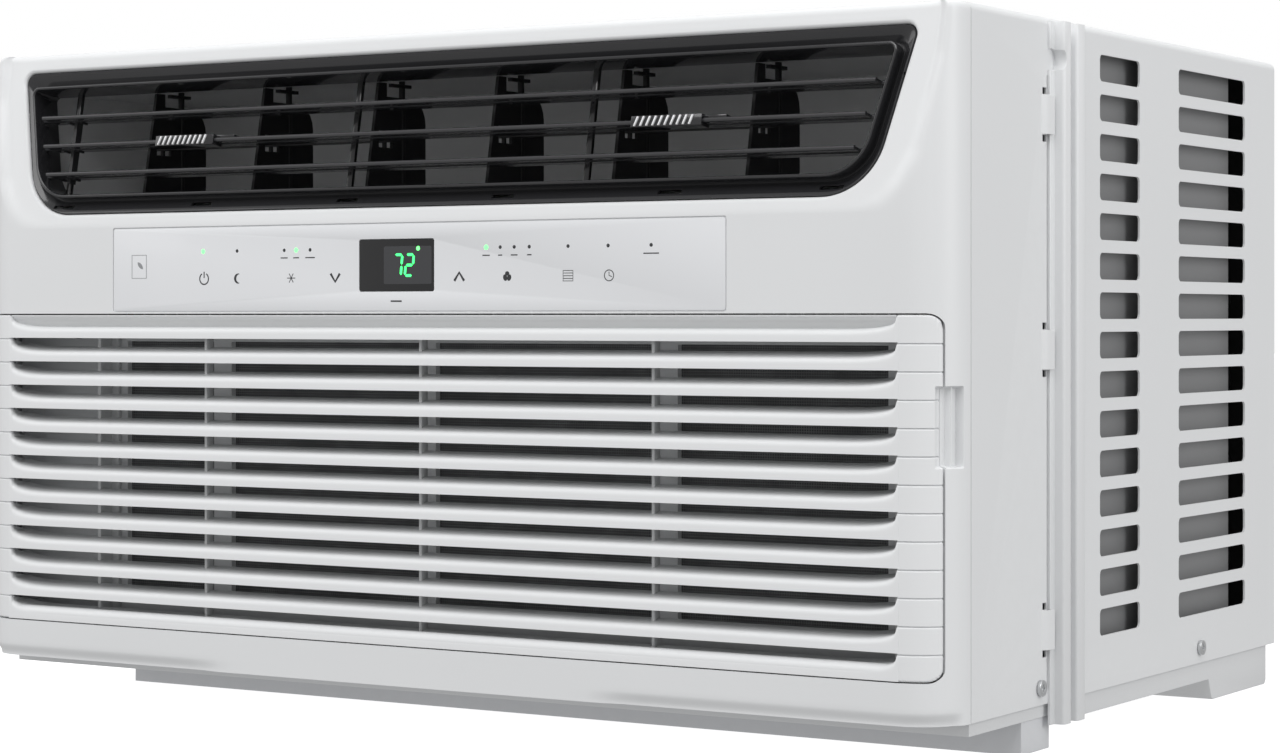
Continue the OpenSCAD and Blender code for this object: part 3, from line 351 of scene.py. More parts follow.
# %% Dust: a mask that is 1 on faces that look up, broken by noise
def make_dust():
    g, i, o = group("dust", [("NodeSocketVector", "Place", None), ("NodeSocketFloat", "Amount", 0.2)],
                    [("NodeSocketFloat", "Mask")])
    geo = g.nodes.new("ShaderNodeNewGeometry")
    split = g.nodes.new("ShaderNodeSeparateXYZ")
    cloud = add_node(g, "ShaderNodeTexNoise", Scale=45.0, Detail=4.0)
    up = math_node(g, "MULTIPLY", split.outputs["Z"], i.outputs["Amount"], clamp=True)
    mask = math_node(g, "MULTIPLY", up, cloud.outputs["Fac"], clamp=True)
    wire(g, (geo.outputs["Normal"], split.inputs[0]), (i.outputs["Place"], cloud.inputs["Vector"]),
         (mask, o.inputs["Mask"]))
    return g


DUST = make_dust()

# %% One finish from the three groups
def tint(tree, factor, a, b):
    """Mixes two colours by a mask. A Mix node keeps its colour sockets at 6 and 7."""
    n = add_node(tree, "ShaderNodeMix", data_type="RGBA")
    for socket, value in ((n.inputs[0], factor), (n.inputs[6], a), (n.inputs[7], b)):
        if isinstance(value, bpy.types.NodeSocket):
            tree.links.new(value, socket)
        else:
            socket.default_value = (*value, 1)
    return n.outputs[2]


DUST_COLOUR = (0.42, 0.40, 0.37)


def finish_of(name, colour, rough, metal=0.0, grain=900.0, height=0.1, wear=0.25, dust=0.0, worn=None,
              coat=0.0,
              specular=0.5, patch=0.03):
    """A coated, moulded or bare surface. Colours are linear RGB."""
    m = bpy.data.materials.new(name)
    m.use_nodes = True
    t = m.node_tree
    bsdf = t.nodes["Principled BSDF"]
    for socket, value in (("Metallic", metal), ("Coat Weight", coat), ("Coat Roughness", 0.08),
                          ("Specular IOR Level", specular)):
        bsdf.inputs[socket].default_value = value
    place = t.nodes.new("ShaderNodeTexCoord").outputs["Object"]
    fine = add_node(t, "ShaderNodeGroup", node_tree=FINE_GRAIN, Size=grain, Height=height)
    rub = add_node(t, "ShaderNodeGroup", node_tree=WEAR, Amount=wear)
    grey = add_node(t, "ShaderNodeGroup", node_tree=DUST, Amount=dust)
    for g in (fine, rub, grey):
        t.links.new(place, g.inputs["Place"])
    shade = [c * (1 - patch) for c in colour]
    worn = worn or [min(1, c * 1.15 + 0.02) for c in colour]
    base = tint(t, fine.outputs["Mask"], colour, shade)
    base = tint(t, rub.outputs["Edge"], base, worn)
    base = tint(t, grey.outputs["Mask"], base, DUST_COLOUR)
    uneven = math_node(t, "MULTIPLY_ADD", rub.outputs["Smudge"], 0.25)
    uneven.node.inputs[2].default_value = rough - 0.03
    gloss = math_node(t, "ADD", uneven, grey.outputs["Mask"], clamp=True)
    wire(t, (base, bsdf.inputs["Base Color"]), (gloss, bsdf.inputs["Roughness"]),
         (fine.outputs["Normal"], bsdf.inputs["Normal"]))
    return m

# %% The unit's finishes
FRONT_WHITE = finish_of("front_plastic", (0.80, 0.81, 0.82), 0.38, grain=1500, height=0.07, wear=0.12)
GRILLE_WHITE = finish_of("grille_plastic", (0.83, 0.84, 0.85), 0.34, grain=1500, height=0.05, wear=0.12,
                         dust=0.04)
CASE_WHITE = finish_of("case_powder_coat", (0.78, 0.79, 0.80), 0.42, grain=520, height=0.16, wear=0.2)
PAN_WHITE = finish_of("pan_powder_coat", (0.76, 0.77, 0.78), 0.45, grain=520, height=0.18, wear=0.35,
                      dust=0.06)
RAIL_GREY = finish_of("sill_rail_coat", (0.66, 0.67, 0.69), 0.42, grain=520, height=0.2, wear=0.4)
LOUVER_BLACK = finish_of("louver_gloss", (0.020, 0.020, 0.022), 0.16, grain=1200, height=0.02, wear=0.2,
                         coat=0.4)
BLADE_BLACK = finish_of("blade_gloss", (0.035, 0.035, 0.038), 0.2, grain=1200, height=0.02, wear=0.3,
                        coat=0.3)
VANE_BLACK = finish_of("vane_satin", (0.006, 0.006, 0.007), 0.5, grain=1100, height=0.05, wear=0.15,
                       specular=0.3)
DUCT_GREY = finish_of("duct_plastic", (0.7, 0.705, 0.71), 0.45, grain=700, height=0.2, wear=0.2,
                      dust=0.06)
INNER_GREY = finish_of("inner_plastic", (0.66, 0.67, 0.68), 0.5, grain=800, height=0.12, wear=0.2,
                       dust=0.08)
INK = finish_of("panel_ink", (0.035, 0.037, 0.04), 0.5, height=0.05, wear=0.0)
INK_LIGHT = finish_of("pale_ink", (0.30, 0.31, 0.32), 0.5, height=0.05, wear=0.0)
ZINC = finish_of("zinc_plate", (0.62, 0.63, 0.64), 0.3, metal=1.0, grain=260, height=0.2, wear=0.5)
ALUMINIUM = finish_of("fin_aluminium", (0.72, 0.73, 0.74), 0.34, metal=1.0, grain=400, height=0.25,
                      wear=0.3, dust=0.05)
COPPER = finish_of("copper_tube", (0.46, 0.24, 0.14), 0.42, metal=1.0, grain=350, height=0.15, wear=0.4,
                   dust=0.03, patch=0.25)
MOTOR_PAINT = finish_of("motor_paint", (0.05, 0.055, 0.06), 0.45, grain=600, height=0.2, wear=0.4,
                        worn=(0.3, 0.3, 0.3))
ENAMEL = finish_of("compressor_enamel", (0.012, 0.012, 0.013), 0.25, grain=500, height=0.2, wear=0.4,
                   worn=(0.2, 0.2, 0.2))
RUBBER = finish_of("moulded_rubber", (0.022, 0.022, 0.023), 0.7, height=0.25, wear=0.2)
FAN_PLASTIC = finish_of("fan_plastic", (0.045, 0.046, 0.05), 0.45, wear=0.2, dust=0.1)
WINDOW = finish_of("window_smoke", (0.004, 0.004, 0.005), 0.06, height=0.0, wear=0.0, coat=0.6)
FILM = finish_of("film_satin", (0.81, 0.82, 0.84), 0.30, grain=1800, height=0.03, wear=0.05, coat=0.15)
COIL_BLACK = finish_of("coil_lacquer", (0.018, 0.018, 0.019), 0.4, grain=500, height=0.15, wear=0.3)
FOAM_BLACK = finish_of("foam_seal", (0.012, 0.012, 0.012), 0.9, grain=600, height=0.5, wear=0.1,
                       patch=0.2)
SKIRT_GREY = finish_of("skirt_plastic", (0.22, 0.222, 0.226), 0.5, grain=800, height=0.12, wear=0.2,
                       dust=0.05)
RIB_WHITE = finish_of("rib_paint", (0.86, 0.86, 0.87), 0.4, wear=0.3)


def paint_depth_shade(m, near, far, half_width, colour):
    """Paints shade into a piece's colour: it falls to a greyer one with depth, between its two thick
    ends, for the shade that parts cast on each other.
    """
    t = m.node_tree
    bsdf = t.nodes["Principled BSDF"]
    split = t.nodes.new("ShaderNodeSeparateXYZ")
    t.links.new(t.nodes["Texture Coordinate"].outputs["Object"], split.inputs[0])
    deep = math_node(t, "SUBTRACT", split.outputs["Y"], near)
    deep = math_node(t, "MULTIPLY", deep, 1 / (far - near), clamp=True)
    middle = math_node(t, "LESS_THAN", math_node(t, "ABSOLUTE", split.outputs["X"]), half_width)
    mask = math_node(t, "MULTIPLY", deep, middle)
    t.links.new(tint(t, mask, bsdf.inputs["Base Color"].links[0].from_socket, colour),
                bsdf.inputs["Base Color"])


# Painted shade: behind the slats' front faces the grille's white turns grey on the blades, cove, ribs and
# guides, standing in for the shade the slats cast on each other.
paint_depth_shade(GRILLE_WHITE, FRONT_Y + 1.6 * MM, FRONT_Y + 3.6 * MM, (SLAT_HW + 1.3) * MM,
           (0.62, 0.63, 0.635))
print(len(bpy.data.materials), "finishes")

# %% Lit pieces: a glow whose brightness varies a little by noise across each dot
def lit(name, colour, strength):
    m = finish_of(name, colour, 0.3, height=0.0, wear=0.0)
    t = m.node_tree
    bsdf = t.nodes["Principled BSDF"]
    place = t.nodes["Texture Coordinate"].outputs["Object"]
    cloud = add_node(t, "ShaderNodeTexNoise", Scale=900.0, Detail=1.0)
    wire(t, (place, cloud.inputs["Vector"]),
         (tint(t, cloud.outputs["Fac"], [c * 0.8 for c in colour], colour),
          bsdf.inputs["Emission Color"]))
    bsdf.inputs["Emission Strength"].default_value = strength
    return m


LED_GREEN = lit("led_green", (0.10, 1.0, 0.14), 3.5)
DIGIT_GREEN = lit("digit_green", (0.05, 1.0, 0.18), 2.2)

# %% Filter net: fine threads crossing over dark holes
def make_net():
    m = finish_of("filter_net", (0.05, 0.05, 0.052), 0.75, wear=0.0)
    t = m.node_tree
    bsdf = t.nodes["Principled BSDF"]
    place = t.nodes["Texture Coordinate"].outputs["Object"]
    lines = []
    for direction, scale in (("X", 260.0), ("Z", 260.0)):
        w = add_node(t, "ShaderNodeTexWave", Scale=scale, Distortion=0.15, bands_direction=direction)
        t.links.new(place, w.inputs["Vector"])
        lines.append(w.outputs["Fac"])
    thread = math_node(t, "MAXIMUM", *lines)
    thread = math_node(t, "POWER", thread, 3.0)
    uneven = add_node(t, "ShaderNodeTexNoise", Scale=60.0, Detail=3.0)
    t.links.new(place, uneven.inputs["Vector"])
    thread = math_node(t, "MULTIPLY", thread, uneven.outputs["Fac"])
    t.links.new(tint(t, thread, (0.05, 0.052, 0.053), (0.27, 0.275, 0.28)), bsdf.inputs["Base Color"])
    bump = add_node(t, "ShaderNodeBump", Distance=0.0002, Strength=0.6)
    wire(t, (thread, bump.inputs["Height"]), (bump.outputs["Normal"], bsdf.inputs["Normal"]))
    return m


NET = make_net()

# %% [markdown]
# ## The plastic front
# The front is one moulding: a flat face with rounded upright corners, and above the controls a
# band that leans back round the outlet. The band isn't a plain plane. It ends in a soft line
# shaped like a smile, and outside that line the plastic swings forward again to meet the corner.
# A grid primitive is bent to that surface, because a falloff this gentle can't be pushed out of a
# few bevels. Solidify gives it its wall, and booleans take out the windows.

# %% How far back the front's surface lies
SMILE = [(0, -0.3), (125, -0.3), (168, 0.2), (195, 1.2), (222, 2.8), (231.2, 4.7), (238.7, 8.1),
         (244.6, 15.2),
         (251.3, 26.9), (256, 47), (260, 67), (260.9, 86.4), (261.2, 110)]
SMILE_SOFT = 9.0


def outside_smile(x, v):
    """Distance outside the smile line, in the leaning band's plane. 0 inside it."""
    x, best, inside = abs(x), 1e9, True
    for (x0, v0), (x1, v1) in zip(SMILE, SMILE[1:]):
        dx, dv = x1 - x0, v1 - v0
        t = max(0, min(1, ((x - x0) * dx + (v - v0) * dv) / (dx * dx + dv * dv)))
        d = math.hypot(x - x0 - t * dx, v - v0 - t * dv)
        if d < best:
            best, inside = d, dx * (v - v0) - dv * (x - x0) >= 0
    return 0.0 if inside else best


def plan(column):
    """(x, y, outward normal) of a column: a flat place, or an angle round a corner."""
    kind, value = column
    if kind == "flat":
        return value, 0.0, 0.0, -1.0
    side = math.copysign(1, value)
    t = math.radians(min(abs(value), 90))
    x, y = FLAT_HW + CORNER_R * math.sin(t), CORNER_R * (1 - math.cos(t))
    return side * x, FRONT_D if abs(value) > 90 else y, side * math.sin(t), -math.cos(t)


SCOOP_Z = (GRILLE_Z1 - 64.1, GRILLE_Z1 - 29.8)
SCOOP_ANGLE = (43.0, 79.0)
SCOOP_DEEP = 3.6


def scooped(column, z):
    """Depth of the finger scoop, a shallow pocket with crisp sides across the grille's seam."""
    if column[0] == "flat":
        return 0.0
    a = abs(column[1])
    side = ease((a - SCOOP_ANGLE[0]) / 2.6) * ease((SCOOP_ANGLE[1] - a) / 2.6)
    ends = ease((z - SCOOP_Z[0]) / 1.2) * ease((SCOOP_Z[1] - z) / 1.2)
    return SCOOP_DEEP * side * ends


TOP_ROUND = 3.5
LIP_Z = FOOT + 6


def on_band(x, y, z):
    """Leans a point of the flat face back with the band, inside the smile and a little past it."""
    back = (z - BAND_Z) * math.tan(LEAN) - y
    if z > BAND_Z and back > 0:
        y += back * ease(1 - outside_smile(x, (z - BAND_Z) / math.cos(LEAN)) / SMILE_SOFT)
    return y


def front_point(column, row):
    kind, z = row
    x, y, nx, ny = plan(column)
    inward = 0.0
    if kind == "floor":
        return x, FRONT_D, FOOT
    if kind == "face":
        under = max(ease((-118 - x) / 8), ease((x - 102) / 8))
        if column[0] == "turn":
            under *= ease((82 - abs(column[1])) / 20)
        inward = scooped(column, z) + 2.2 * under * ease((LIP_Z - z) / 5.5)
        y = on_band(x, y, z)
    else:
        t = math.radians(z if kind == "round" else 90)
        inward = TOP_ROUND * (1 - math.cos(t))
        z = TOP - TOP_ROUND + TOP_ROUND * math.sin(t)
        y = on_band(x, y, TOP - TOP_ROUND)
    if kind == "top":
        return x - nx * inward, FRONT_D, TOP
    return x - nx * inward, min(y - ny * inward, FRONT_D), z


def back_point(column, row):
    """The inner skin: a wall further in, flat behind the band, with the scoop drawn wider."""
    kind, z = row
    x, y, nx, ny = plan(column)
    z = {"floor": FOOT, "face": z}.get(kind, TOP)
    z = max(FOOT + WALL, min(TOP - WALL, z))
    inward = WALL
    if column[0] == "turn":
        a = abs(column[1])
        inward += (SCOOP_DEEP * ease((a - SCOOP_ANGLE[0] + 7) / 7) * ease((SCOOP_ANGLE[1] + 7 - a) / 7)
                   * ease((z - SCOOP_Z[0] + 3) / 3) * ease((SCOOP_Z[1] + 3 - z) / 3))
    y = max(y - ny * inward, (z - BAND_Z) * math.tan(LEAN) + WALL)
    return x - nx * inward, FRONT_D if kind in ("floor", "top") else min(y, FRONT_D), z


def walled_sheet(name, across, up, outer, inner):
    """A sheet given its wall: Solidify makes the second skin, and each of its points finds its place."""
    obj = grid_sheet(name, across, up, outer, Matrix())
    modify(obj, "SOLIDIFY", thickness=WALL * MM, offset=-1)
    n = len(across) * len(up)
    kept = (obj.data.vertices[0].co - Vector(outer(across[0], up[0])) * MM).length < 0.000001
    for i in range(n):
        v = obj.data.vertices[i + n if kept else i]
        v.co = Vector(inner(across[i % len(across)], up[i // len(across)])) * MM
    outward(obj, 0.000005)
    obj.data.transform(SEAT)
    return obj


corner_turn = [95, 90, 86, 82, 80, 79, 78.2, 77.4, 76.4, 74, 70, 66, 62, 58, 55, 52, 49, 46, 45.6, 44.8,
               44, 43,
               42, 40, 38, 36, 33, 28, 22, 16, 10, 5]
FRONT_COLUMNS = ([("turn", -a) for a in corner_turn] + [("flat", x) for x in steps(-FLAT_HW, -190, 2)]
                 + [("flat", x) for x in steps(-190, 190, 9.5)[1:-1]]
                 + [("flat", x) for x in steps(190, FLAT_HW, 2)]
                 + [("turn", a) for a in reversed(corner_turn)])
scoop_rows = ([SCOOP_Z[0] + d for d in (-3, -1.5, -0.6, 0, 0.3, 0.6, 0.9, 1.2)]
              + steps(SCOOP_Z[0] + 4, SCOOP_Z[1] - 4, 9)
              + [SCOOP_Z[1] + d for d in (-1.2, -0.9, -0.6, -0.3, 0, 0.6, 1.5, 3)])
FRONT_ROWS = ([("floor", FOOT)] + [("face", FOOT + d) for d in (0, 0.6, 1.4, 2.4, 3.4, 4.4, 5.2, 6, 8)]
              + [("face", z) for z in [60, 90] + scoop_rows + [180, 200, 222, 231, 233.5]]
              + [("face", z) for z in steps(BAND_Z, TOP - TOP_ROUND, 1.9)]
              + [("round", a) for a in (18, 36, 54, 72, 90)] + [("top", 0)])
front = walled_sheet("front_moulding", FRONT_COLUMNS, FRONT_ROWS, front_point, back_point)
print("front wall:", len(front.data.polygons), "faces")

# %% [markdown]
# ## Windows in the front
# Each opening is cut with a tool that carries the shape of its rim. The outlet's tool flares
# where it meets the surface, so the cut leaves the moulding's rounded lip in one go, which is
# steadier than bevelling a freshly cut edge.

# %% Outline of the outlet, wide at the top with big lower corners
OUTLET_HW, OUTLET_SIDE = min(252.0, HALF_W - 18.5), math.radians(13.5)
OUTLET_V1 = BAND_V - 9
OUTLET_V0 = OUTLET_V1 - 73.5
LEDGE = 8.0
RIM_HW, RIM_V0, RIM_V1 = OUTLET_HW - LEDGE + 0.5, OUTLET_V0 + LEDGE, OUTLET_V1 - LEDGE


def opening(hw, v0, v1, rt, rb, grow=0.0, n=8):
    s, c = math.sin(OUTLET_SIDE), math.cos(OUTLET_SIDE)
    hw, v0, v1, rt, rb = hw + grow * (1 + s) / c, v0 - grow, v1 + grow, rt + grow, rb + grow
    lean = math.degrees(OUTLET_SIDE)
    right = (arc(hw - rt * (1 + s) / c, v1 - rt, rt, 90, -lean, n)
             + arc(hw + (s * (v0 + rb - v1) - rb) / c, v0 + rb, rb, -lean, -90, 2 * n))
    return right + [(-x, v) for x, v in reversed(right)]


def outlet(grow=0.0):
    return opening(OUTLET_HW, OUTLET_V0, OUTLET_V1, 5, 29, grow)


def rim(grow=0.0):
    return opening(RIM_HW, RIM_V0, RIM_V1, 4, 22, grow)


def tube_of(name, rings, place=BAND, closed=True):
    """Outlines at several depths, joined ring to ring: a lofted band or a flared tool."""
    n = len(rings[0][1])
    bpy.ops.object.select_all(action="DESELECT")
    bpy.ops.mesh.primitive_grid_add(x_subdivisions=n, y_subdivisions=len(rings) - 1)
    obj = named(name)
    for i, v in enumerate(obj.data.vertices):
        depth, outline = rings[i // (n + 1)]
        x, z = outline[i % (n + 1) % n]
        v.co = (x * MM, depth * MM, z * MM)
    if closed:
        close_ends(obj, 0.000001)
    outward(obj, 0.000001)
    obj.data.transform(place)
    return obj


LIP_R = 2.0
flare = [(-6, outlet(LIP_R + 0.3))]
for a in (0, 15, 30, 50, 70, 90):
    t = math.radians(a)
    flare.append((LIP_R - LIP_R * math.cos(t) - 0.05, outlet(LIP_R * (1 - math.sin(t)))))
flare.append((9, outlet()))
window = (-29.8, 13.3, GRILLE_Z1 + 10.2, GRILLE_Z1 + 34.8)
FILM_BOX = (-179.9, 166.9, GRILLE_Z1 + 1.3, GRILLE_Z1 + 41.9)
FILM_GAP, PANEL_DEPTH = 0.3, 11.4
panel_gap = rounded(-PANEL_HW - SEAM, PANEL_HW + SEAM, GRILLE_Z0 - 0.3, GRILLE_Z1 + 0.3, 5.8)


def pane(box, inset, r, n):
    """A rounded outline that lies a little inside a box, or outside it."""
    x0, x1, z0, z1 = box
    return rounded(x0 + inset, x1 - inset, z0 + inset, z1 - inset, r, n)


cut(front, tube_of("outlet_tool", flare))
cut(front, prism("panel_tool", panel_gap, "Y", (-5, PANEL_DEPTH)))
cut(front, prism("film_tool", pane(FILM_BOX, -FILM_GAP, 1.2, 3), "Y", (-3, 0.6)))
cut(front, prism("window_tool", pane(window, 0, 1.0, 3), "Y", (-3, 5)))
strips = [block("seam_backing", x, (PANEL_DEPTH + 1.8, PANEL_DEPTH + 2.8), (GRILLE_Z0, GRILLE_Z1))
          for x in ((-267, -257), (257, 267))]
front = join("front_moulding", front, *strips)
smooth(front)
done(front, "case", FRONT_WHITE, ["front_bezel"])

# %% [markdown]
# ## The intake grille
# Thirteen slats run across a panel that hinges at its lower edge. Each slat has an upright face, a
# bead along the top and a blade that climbs inwards, and near its ends the face grows until the gap
# above it closes. One slat is bent out of a grid whose rows are the section's own points. It is
# copied up the panel, which is how a real mould repeats it, and keeps every highlight alike.

# %% One slat
SLAT_END = 34.0
SLAT_DEEP = 10.0
slat_section = [(0, 0), (0, 2.4), (0.05, 3.0), (0.22, 3.7), (0.6, 4.35), (1.2, 4.85), (2.1, 5.2),
                (3.4, 5.55),
                (SLAT_DEEP, 7.5), (SLAT_DEEP, 6.0), (3.4, 3.9), (2.2, 3.2), (1.8, 2.2), (1.8, 0)]


def rise_at(x):
    """How much the face has grown at a place along the slat."""
    t = max(0.0, (abs(x) - (SLAT_HW - SLAT_END)) / SLAT_END)
    return (PITCH - SLAT_FACE) * (1 - max(0.0, 1 - min(t, 1) ** 3.4) ** (1 / 3.4))


def slat(name, z0, section):
    stations = steps(-SLAT_HW - 1.3, -SLAT_HW + 8, 0.9) + steps(-SLAT_HW + 8, -SLAT_HW + SLAT_END,
                                                                2.2)[1:]
    stations += [-x for x in reversed(stations)]
    loop = section + section[:1]

    def point(x, p):
        grown = rise_at(x) if p[1] >= 2.2 else 0.0
        back = ease((p[0] - 1.2) / (SLAT_DEEP - 4.0))
        grown += (min(grown, 1.6) - grown) * back
        return x, p[0], z0 + p[1] + grown * min(1.0, p[1] / 3.2)
    return outward(close_ends(grid_sheet(name, stations, loop, point)), 0.000005)


first = slat("slat", GRILLE_Z0 + 0.3, slat_section)
slats = [first]
for i in range(1, SLATS):
    only(first)
    bpy.ops.object.duplicate()
    copy = named(f"slat_{i}")
    copy.data.transform(Matrix.Translation((0, 0, i * PITCH * MM)))
    slats.append(copy)
for v in slats[-1].data.vertices:
    v.co.z = min(v.co.z, (GRILLE_Z1 - 0.5) * MM)
print(len(slats), "slats of", len(first.data.polygons), "faces")

# %% End panels, which turn the corner with the front
EDGE_TURN = math.degrees(math.asin((PANEL_HW - FLAT_HW) / CORNER_R))
END_TURNS = [4.5, 8, 11, 15, 20, 25, 30, 34, 38, 41, 43, 43.6, 44.2, 44.9, 45.6, 47, 49, 51,
             EDGE_TURN - 0.8, EDGE_TURN]
PANEL_R = 5.2
PANEL_BACK = 2.4
VEE_DEEP, EDGE_R = 0.85, 0.8


def end_point(turn, z, deep=0.0):
    x = FLAT_HW + CORNER_R * math.sin(math.radians(turn)) if turn > 0 else FLAT_HW + turn * 0.3
    y = CORNER_R * (1 - math.cos(math.radians(max(turn, 0))))
    near = max(0.0, PANEL_R - (PANEL_HW - x))
    inset = PANEL_R - math.sqrt(max(0.0, PANEL_R ** 2 - near ** 2))
    low, high = GRILLE_Z0 + 0.3 + inset, GRILLE_Z1 - 0.3 - inset
    z = max(low, min(high, z))
    under = PITCH - (z - GRILLE_Z0) % PITCH
    vee = 0.0
    if low + 2 < z < high - 2:
        vee = VEE_DEEP * min(under / 0.1, max(0.0, 1.0 - under) / 0.9)
    rim_round = sum(EDGE_R * max(0.0, 1 - d / EDGE_R) ** 2
                    for d in (min(z - low, high - z), PANEL_HW - x))
    inward = scooped(("turn", turn), z) + vee + rim_round
    t = math.radians(max(turn, 0))
    if deep:
        inward = deep + (scooped(("turn", min(turn + 3, 60)), z) if turn > 38 else 0)
    return x - math.sin(t) * inward, y + math.cos(t) * inward, z


end_rows = [GRILLE_Z0, GRILLE_Z0 + 0.6, GRILLE_Z0 + 1.0]
for i in range(SLATS):
    z = GRILLE_Z0 + i * PITCH
    end_rows += [z + d for d in (0.02, 1.4, 2.4, 3.4, 4.6, PITCH / 2)]
    end_rows += [z + PITCH - d for d in (3, 1.6, 1.0, 0.55, 0.1)]
end_rows += [SCOOP_Z[0] + d for d in (0, 0.3, 0.6, 0.9, 1.2)] + [SCOOP_Z[1] - d
                                                                 for d in (0, 0.3, 0.6, 0.9, 1.2)]
end_rows += [GRILLE_Z1 - d for d in (0.3, 0.5, 0.8, 1.1)]
end_rows = sorted(set(round(z, 3) for z in end_rows))
end_right = walled_sheet("grille_end", END_TURNS, end_rows, end_point, lambda t,
                         z: end_point(t, z, PANEL_BACK))
end_left = mirror_x(end_right, "grille_end_left")

# %% Top rail, bottom roll, ribs, guides and pins
z0, z1 = GRILLE_Z0 + 0.3, GRILLE_Z1 - 0.3
cove = prism("grille_cove", [(0.7, z1), (0.7, z1 - 0.7), (1.4, z1 - 1.2), (2.6, z1 - 2.4),
                             (3.4, z1 - 4.2),
                             (3.8, z1 - 6.0), (5.4, z1 - 6.0), (5.4, z1)], "X", (-SLAT_HW, SLAT_HW))
roll = prism("grille_roll", arc(3.5, z0 + 3.5, 3.45, 0, 360, 28)[:-1], "X", (-SLAT_HW, SLAT_HW))
parts = [soften(cove, 0.25, 2), roll]
for x in (-126.5, 1.0, 126.5):
    parts.append(soften(block("grille_rib", (x - 0.8, x + 0.8), (6, 11), (z0 + 3, z1 - 2)), 0.3, 2))
FILTER_X = (-HALF_W + 75, HALF_W - 27.5)
for edge, side in zip(FILTER_X, (-1, 1)):
    a, b = sorted((edge + side * 0.3, edge + side * 2.3))
    parts.append(soften(block("filter_guide", (a, b), (8.5, 24.5), (z0 + 3, z1 - 8)), 0.4, 2))
    a, b = sorted((edge + side * 0.4, edge - side * 4))
    for y in (16.7, 22.5):
        parts.append(soften(block("guide_lip", (a, b), (y, y + 2), (z0 + 3, z1 - 8)), 0.4, 2))
for side in (-1, 1):
    x = side * (HALF_W - 70.5)
    parts.append(rod("hinge_pin", 1.2, (x - 4, 3.5, z0 + 3.5), "X", 8, 20))
grille = join("grille_panel", *slats, end_right, end_left, *parts)
smooth(grille, 28)
done(grille, "intake_grille", GRILLE_WHITE, ["intake_grille"])

# %% [markdown]
# ## The steel case
# One sheet is folded over the top and down both sides. Air for the hot end goes in through two
# columns of pressed slots on each side. The fold is an outline with real bends, extruded along the
# depth, and one boolean with thirty slot shapes cuts both walls at once. A narrow bevel then gives
# every cut edge the bright line that painted sheet has.

# %% Folded sheet and its slots
SHEET = 1.0
BEND = 4.0


def fold(inset, foot):
    w, r = HALF_W - inset, BEND - inset
    return [(w, foot)] + arc(w - r, TOP - inset - r, r, 0, 90, 8) + arc(-w + r, TOP - inset - r, r, 90,
                                                                        180, 8) + [(-w, foot)]


case_y = (FRONT_D + 0.45, BACK)
case = prism("case_wrap", fold(0, FOOT) + fold(SHEET, FOOT)[::-1], "Y", case_y)
VENT_TOP, VENT_PITCH, VENT_H = TOP - 12.4, 18.05, 12.2
VENT_ROWS = int((VENT_TOP - VENT_H - FOOT - 19) / VENT_PITCH) + 1
VENT_COLUMNS = ((160, 207), (BACK - 132.5, BACK - 43))
across = (-HALF_W - 4, HALF_W + 4)
slots = []
for y0, y1 in VENT_COLUMNS:
    for i in range(VENT_ROWS):
        top = VENT_TOP - i * VENT_PITCH
        slots.append(prism("slot", rounded(y0, y1, top - VENT_H, top, 2.6, 5), "X", across))
SCREWS = [(94, FOOT + 7.6), (BACK - 105, FOOT + 7.6)]
for y, z in SCREWS:
    for side in (-1, 1):
        slots.append(rod("screw_dish", 5.2, (side * (HALF_W + 1.45) - 1, y, z), "X", 2, 28))
slots.append(rod("gland_hole", 6.7, (-HALF_W - 3, 70, 60), "X", 6, 32))
for side in (-1, 1):
    slots.append(rod("top_hole", 2.1, (side * 180, 119.8, TOP - 3), "Z", 5, 24))
RAIL_Y = (102.4, 137.2)
TAB_Z = (44.3, (TOP + 12) / 2, TOP - 52)
TAB_H = 17.4
for z in TAB_Z:
    for a in (z - 3.2, z + TAB_H + 0.2):
        slots.append(block("tab_slit", across, (RAIL_Y[0] - 5.5, RAIL_Y[0] - 1.4), (a, a + 3.0)))
slots.append(block("rail_slit", across, (RAIL_Y[0] - 1.0, RAIL_Y[0] - 0.2), (FOOT + 6, TOP - 26)))
cut(case, *slots)
FLANGE = 12
flange = [block("flange_side", (s * (HALF_W - FLANGE), s * (HALF_W - 0.4)), (BACK - SHEET, BACK),
                (FOOT, TOP - 3))
          for s in (-1, 1)]
flange.append(block("flange_top", (-HALF_W + 3, HALF_W - 3), (BACK - SHEET, BACK),
                    (TOP - FLANGE, TOP - 0.4)))
TAB_EDGE = [(-0.3, -7.2), (1.1, -5.2), (2.3, -3.0), (2.4, 2.4), (1.35, 2.4), (1.3, -1.6), (0.2, -3.4),
            (-0.5, -4.6)]
tabs = []
for z in TAB_Z:
    for side in (-1, 1):
        edge = [(side * (HALF_W + out), RAIL_Y[0] + back) for out, back in TAB_EDGE]
        tabs.append(prism("tab", edge, "Z", (z, z + TAB_H)))
        a, b = sorted((side * (HALF_W - 0.4), side * (HALF_W + 1.3)))
        tabs.append(block("rear_plate", (a, b), (RAIL_Y[1] + 0.3, RAIL_Y[1] + 4.2), (z, z + TAB_H)))
soften(case, 0.3, 2, 40)
case = join("case_wrap", case, *[soften(o, 0.25, 2) for o in flange + tabs])
smooth(case, 30)
modify(case, "WEIGHTED_NORMAL", keep_sharp=True)
done(case, "case", CASE_WHITE, ["cabinet"])

# %% [markdown]
# ## Behind the side slots
# Through the right-hand slots one sees a flat grey wall, and past its end the dark side of the
# coil. A thin plate stands a little inside the case, and a foam strip closes the gap between the
# coil and the case.

# %% Skirt and seal
skirt = soften(block("side_skirt", (HALF_W - 8.5, HALF_W - 7.3), (152, 341), (FOOT + 12, TOP - 8)), 0.3,
               2)
done(skirt, "case", SKIRT_GREY)
seal = soften(block("coil_seal", (HALF_W - 29, HALF_W - 1.5), (BACK - 13, BACK - 2), (FOOT + 2, TOP - 3)),
              0.6, 2)
done(seal, "case", FOAM_BLACK)

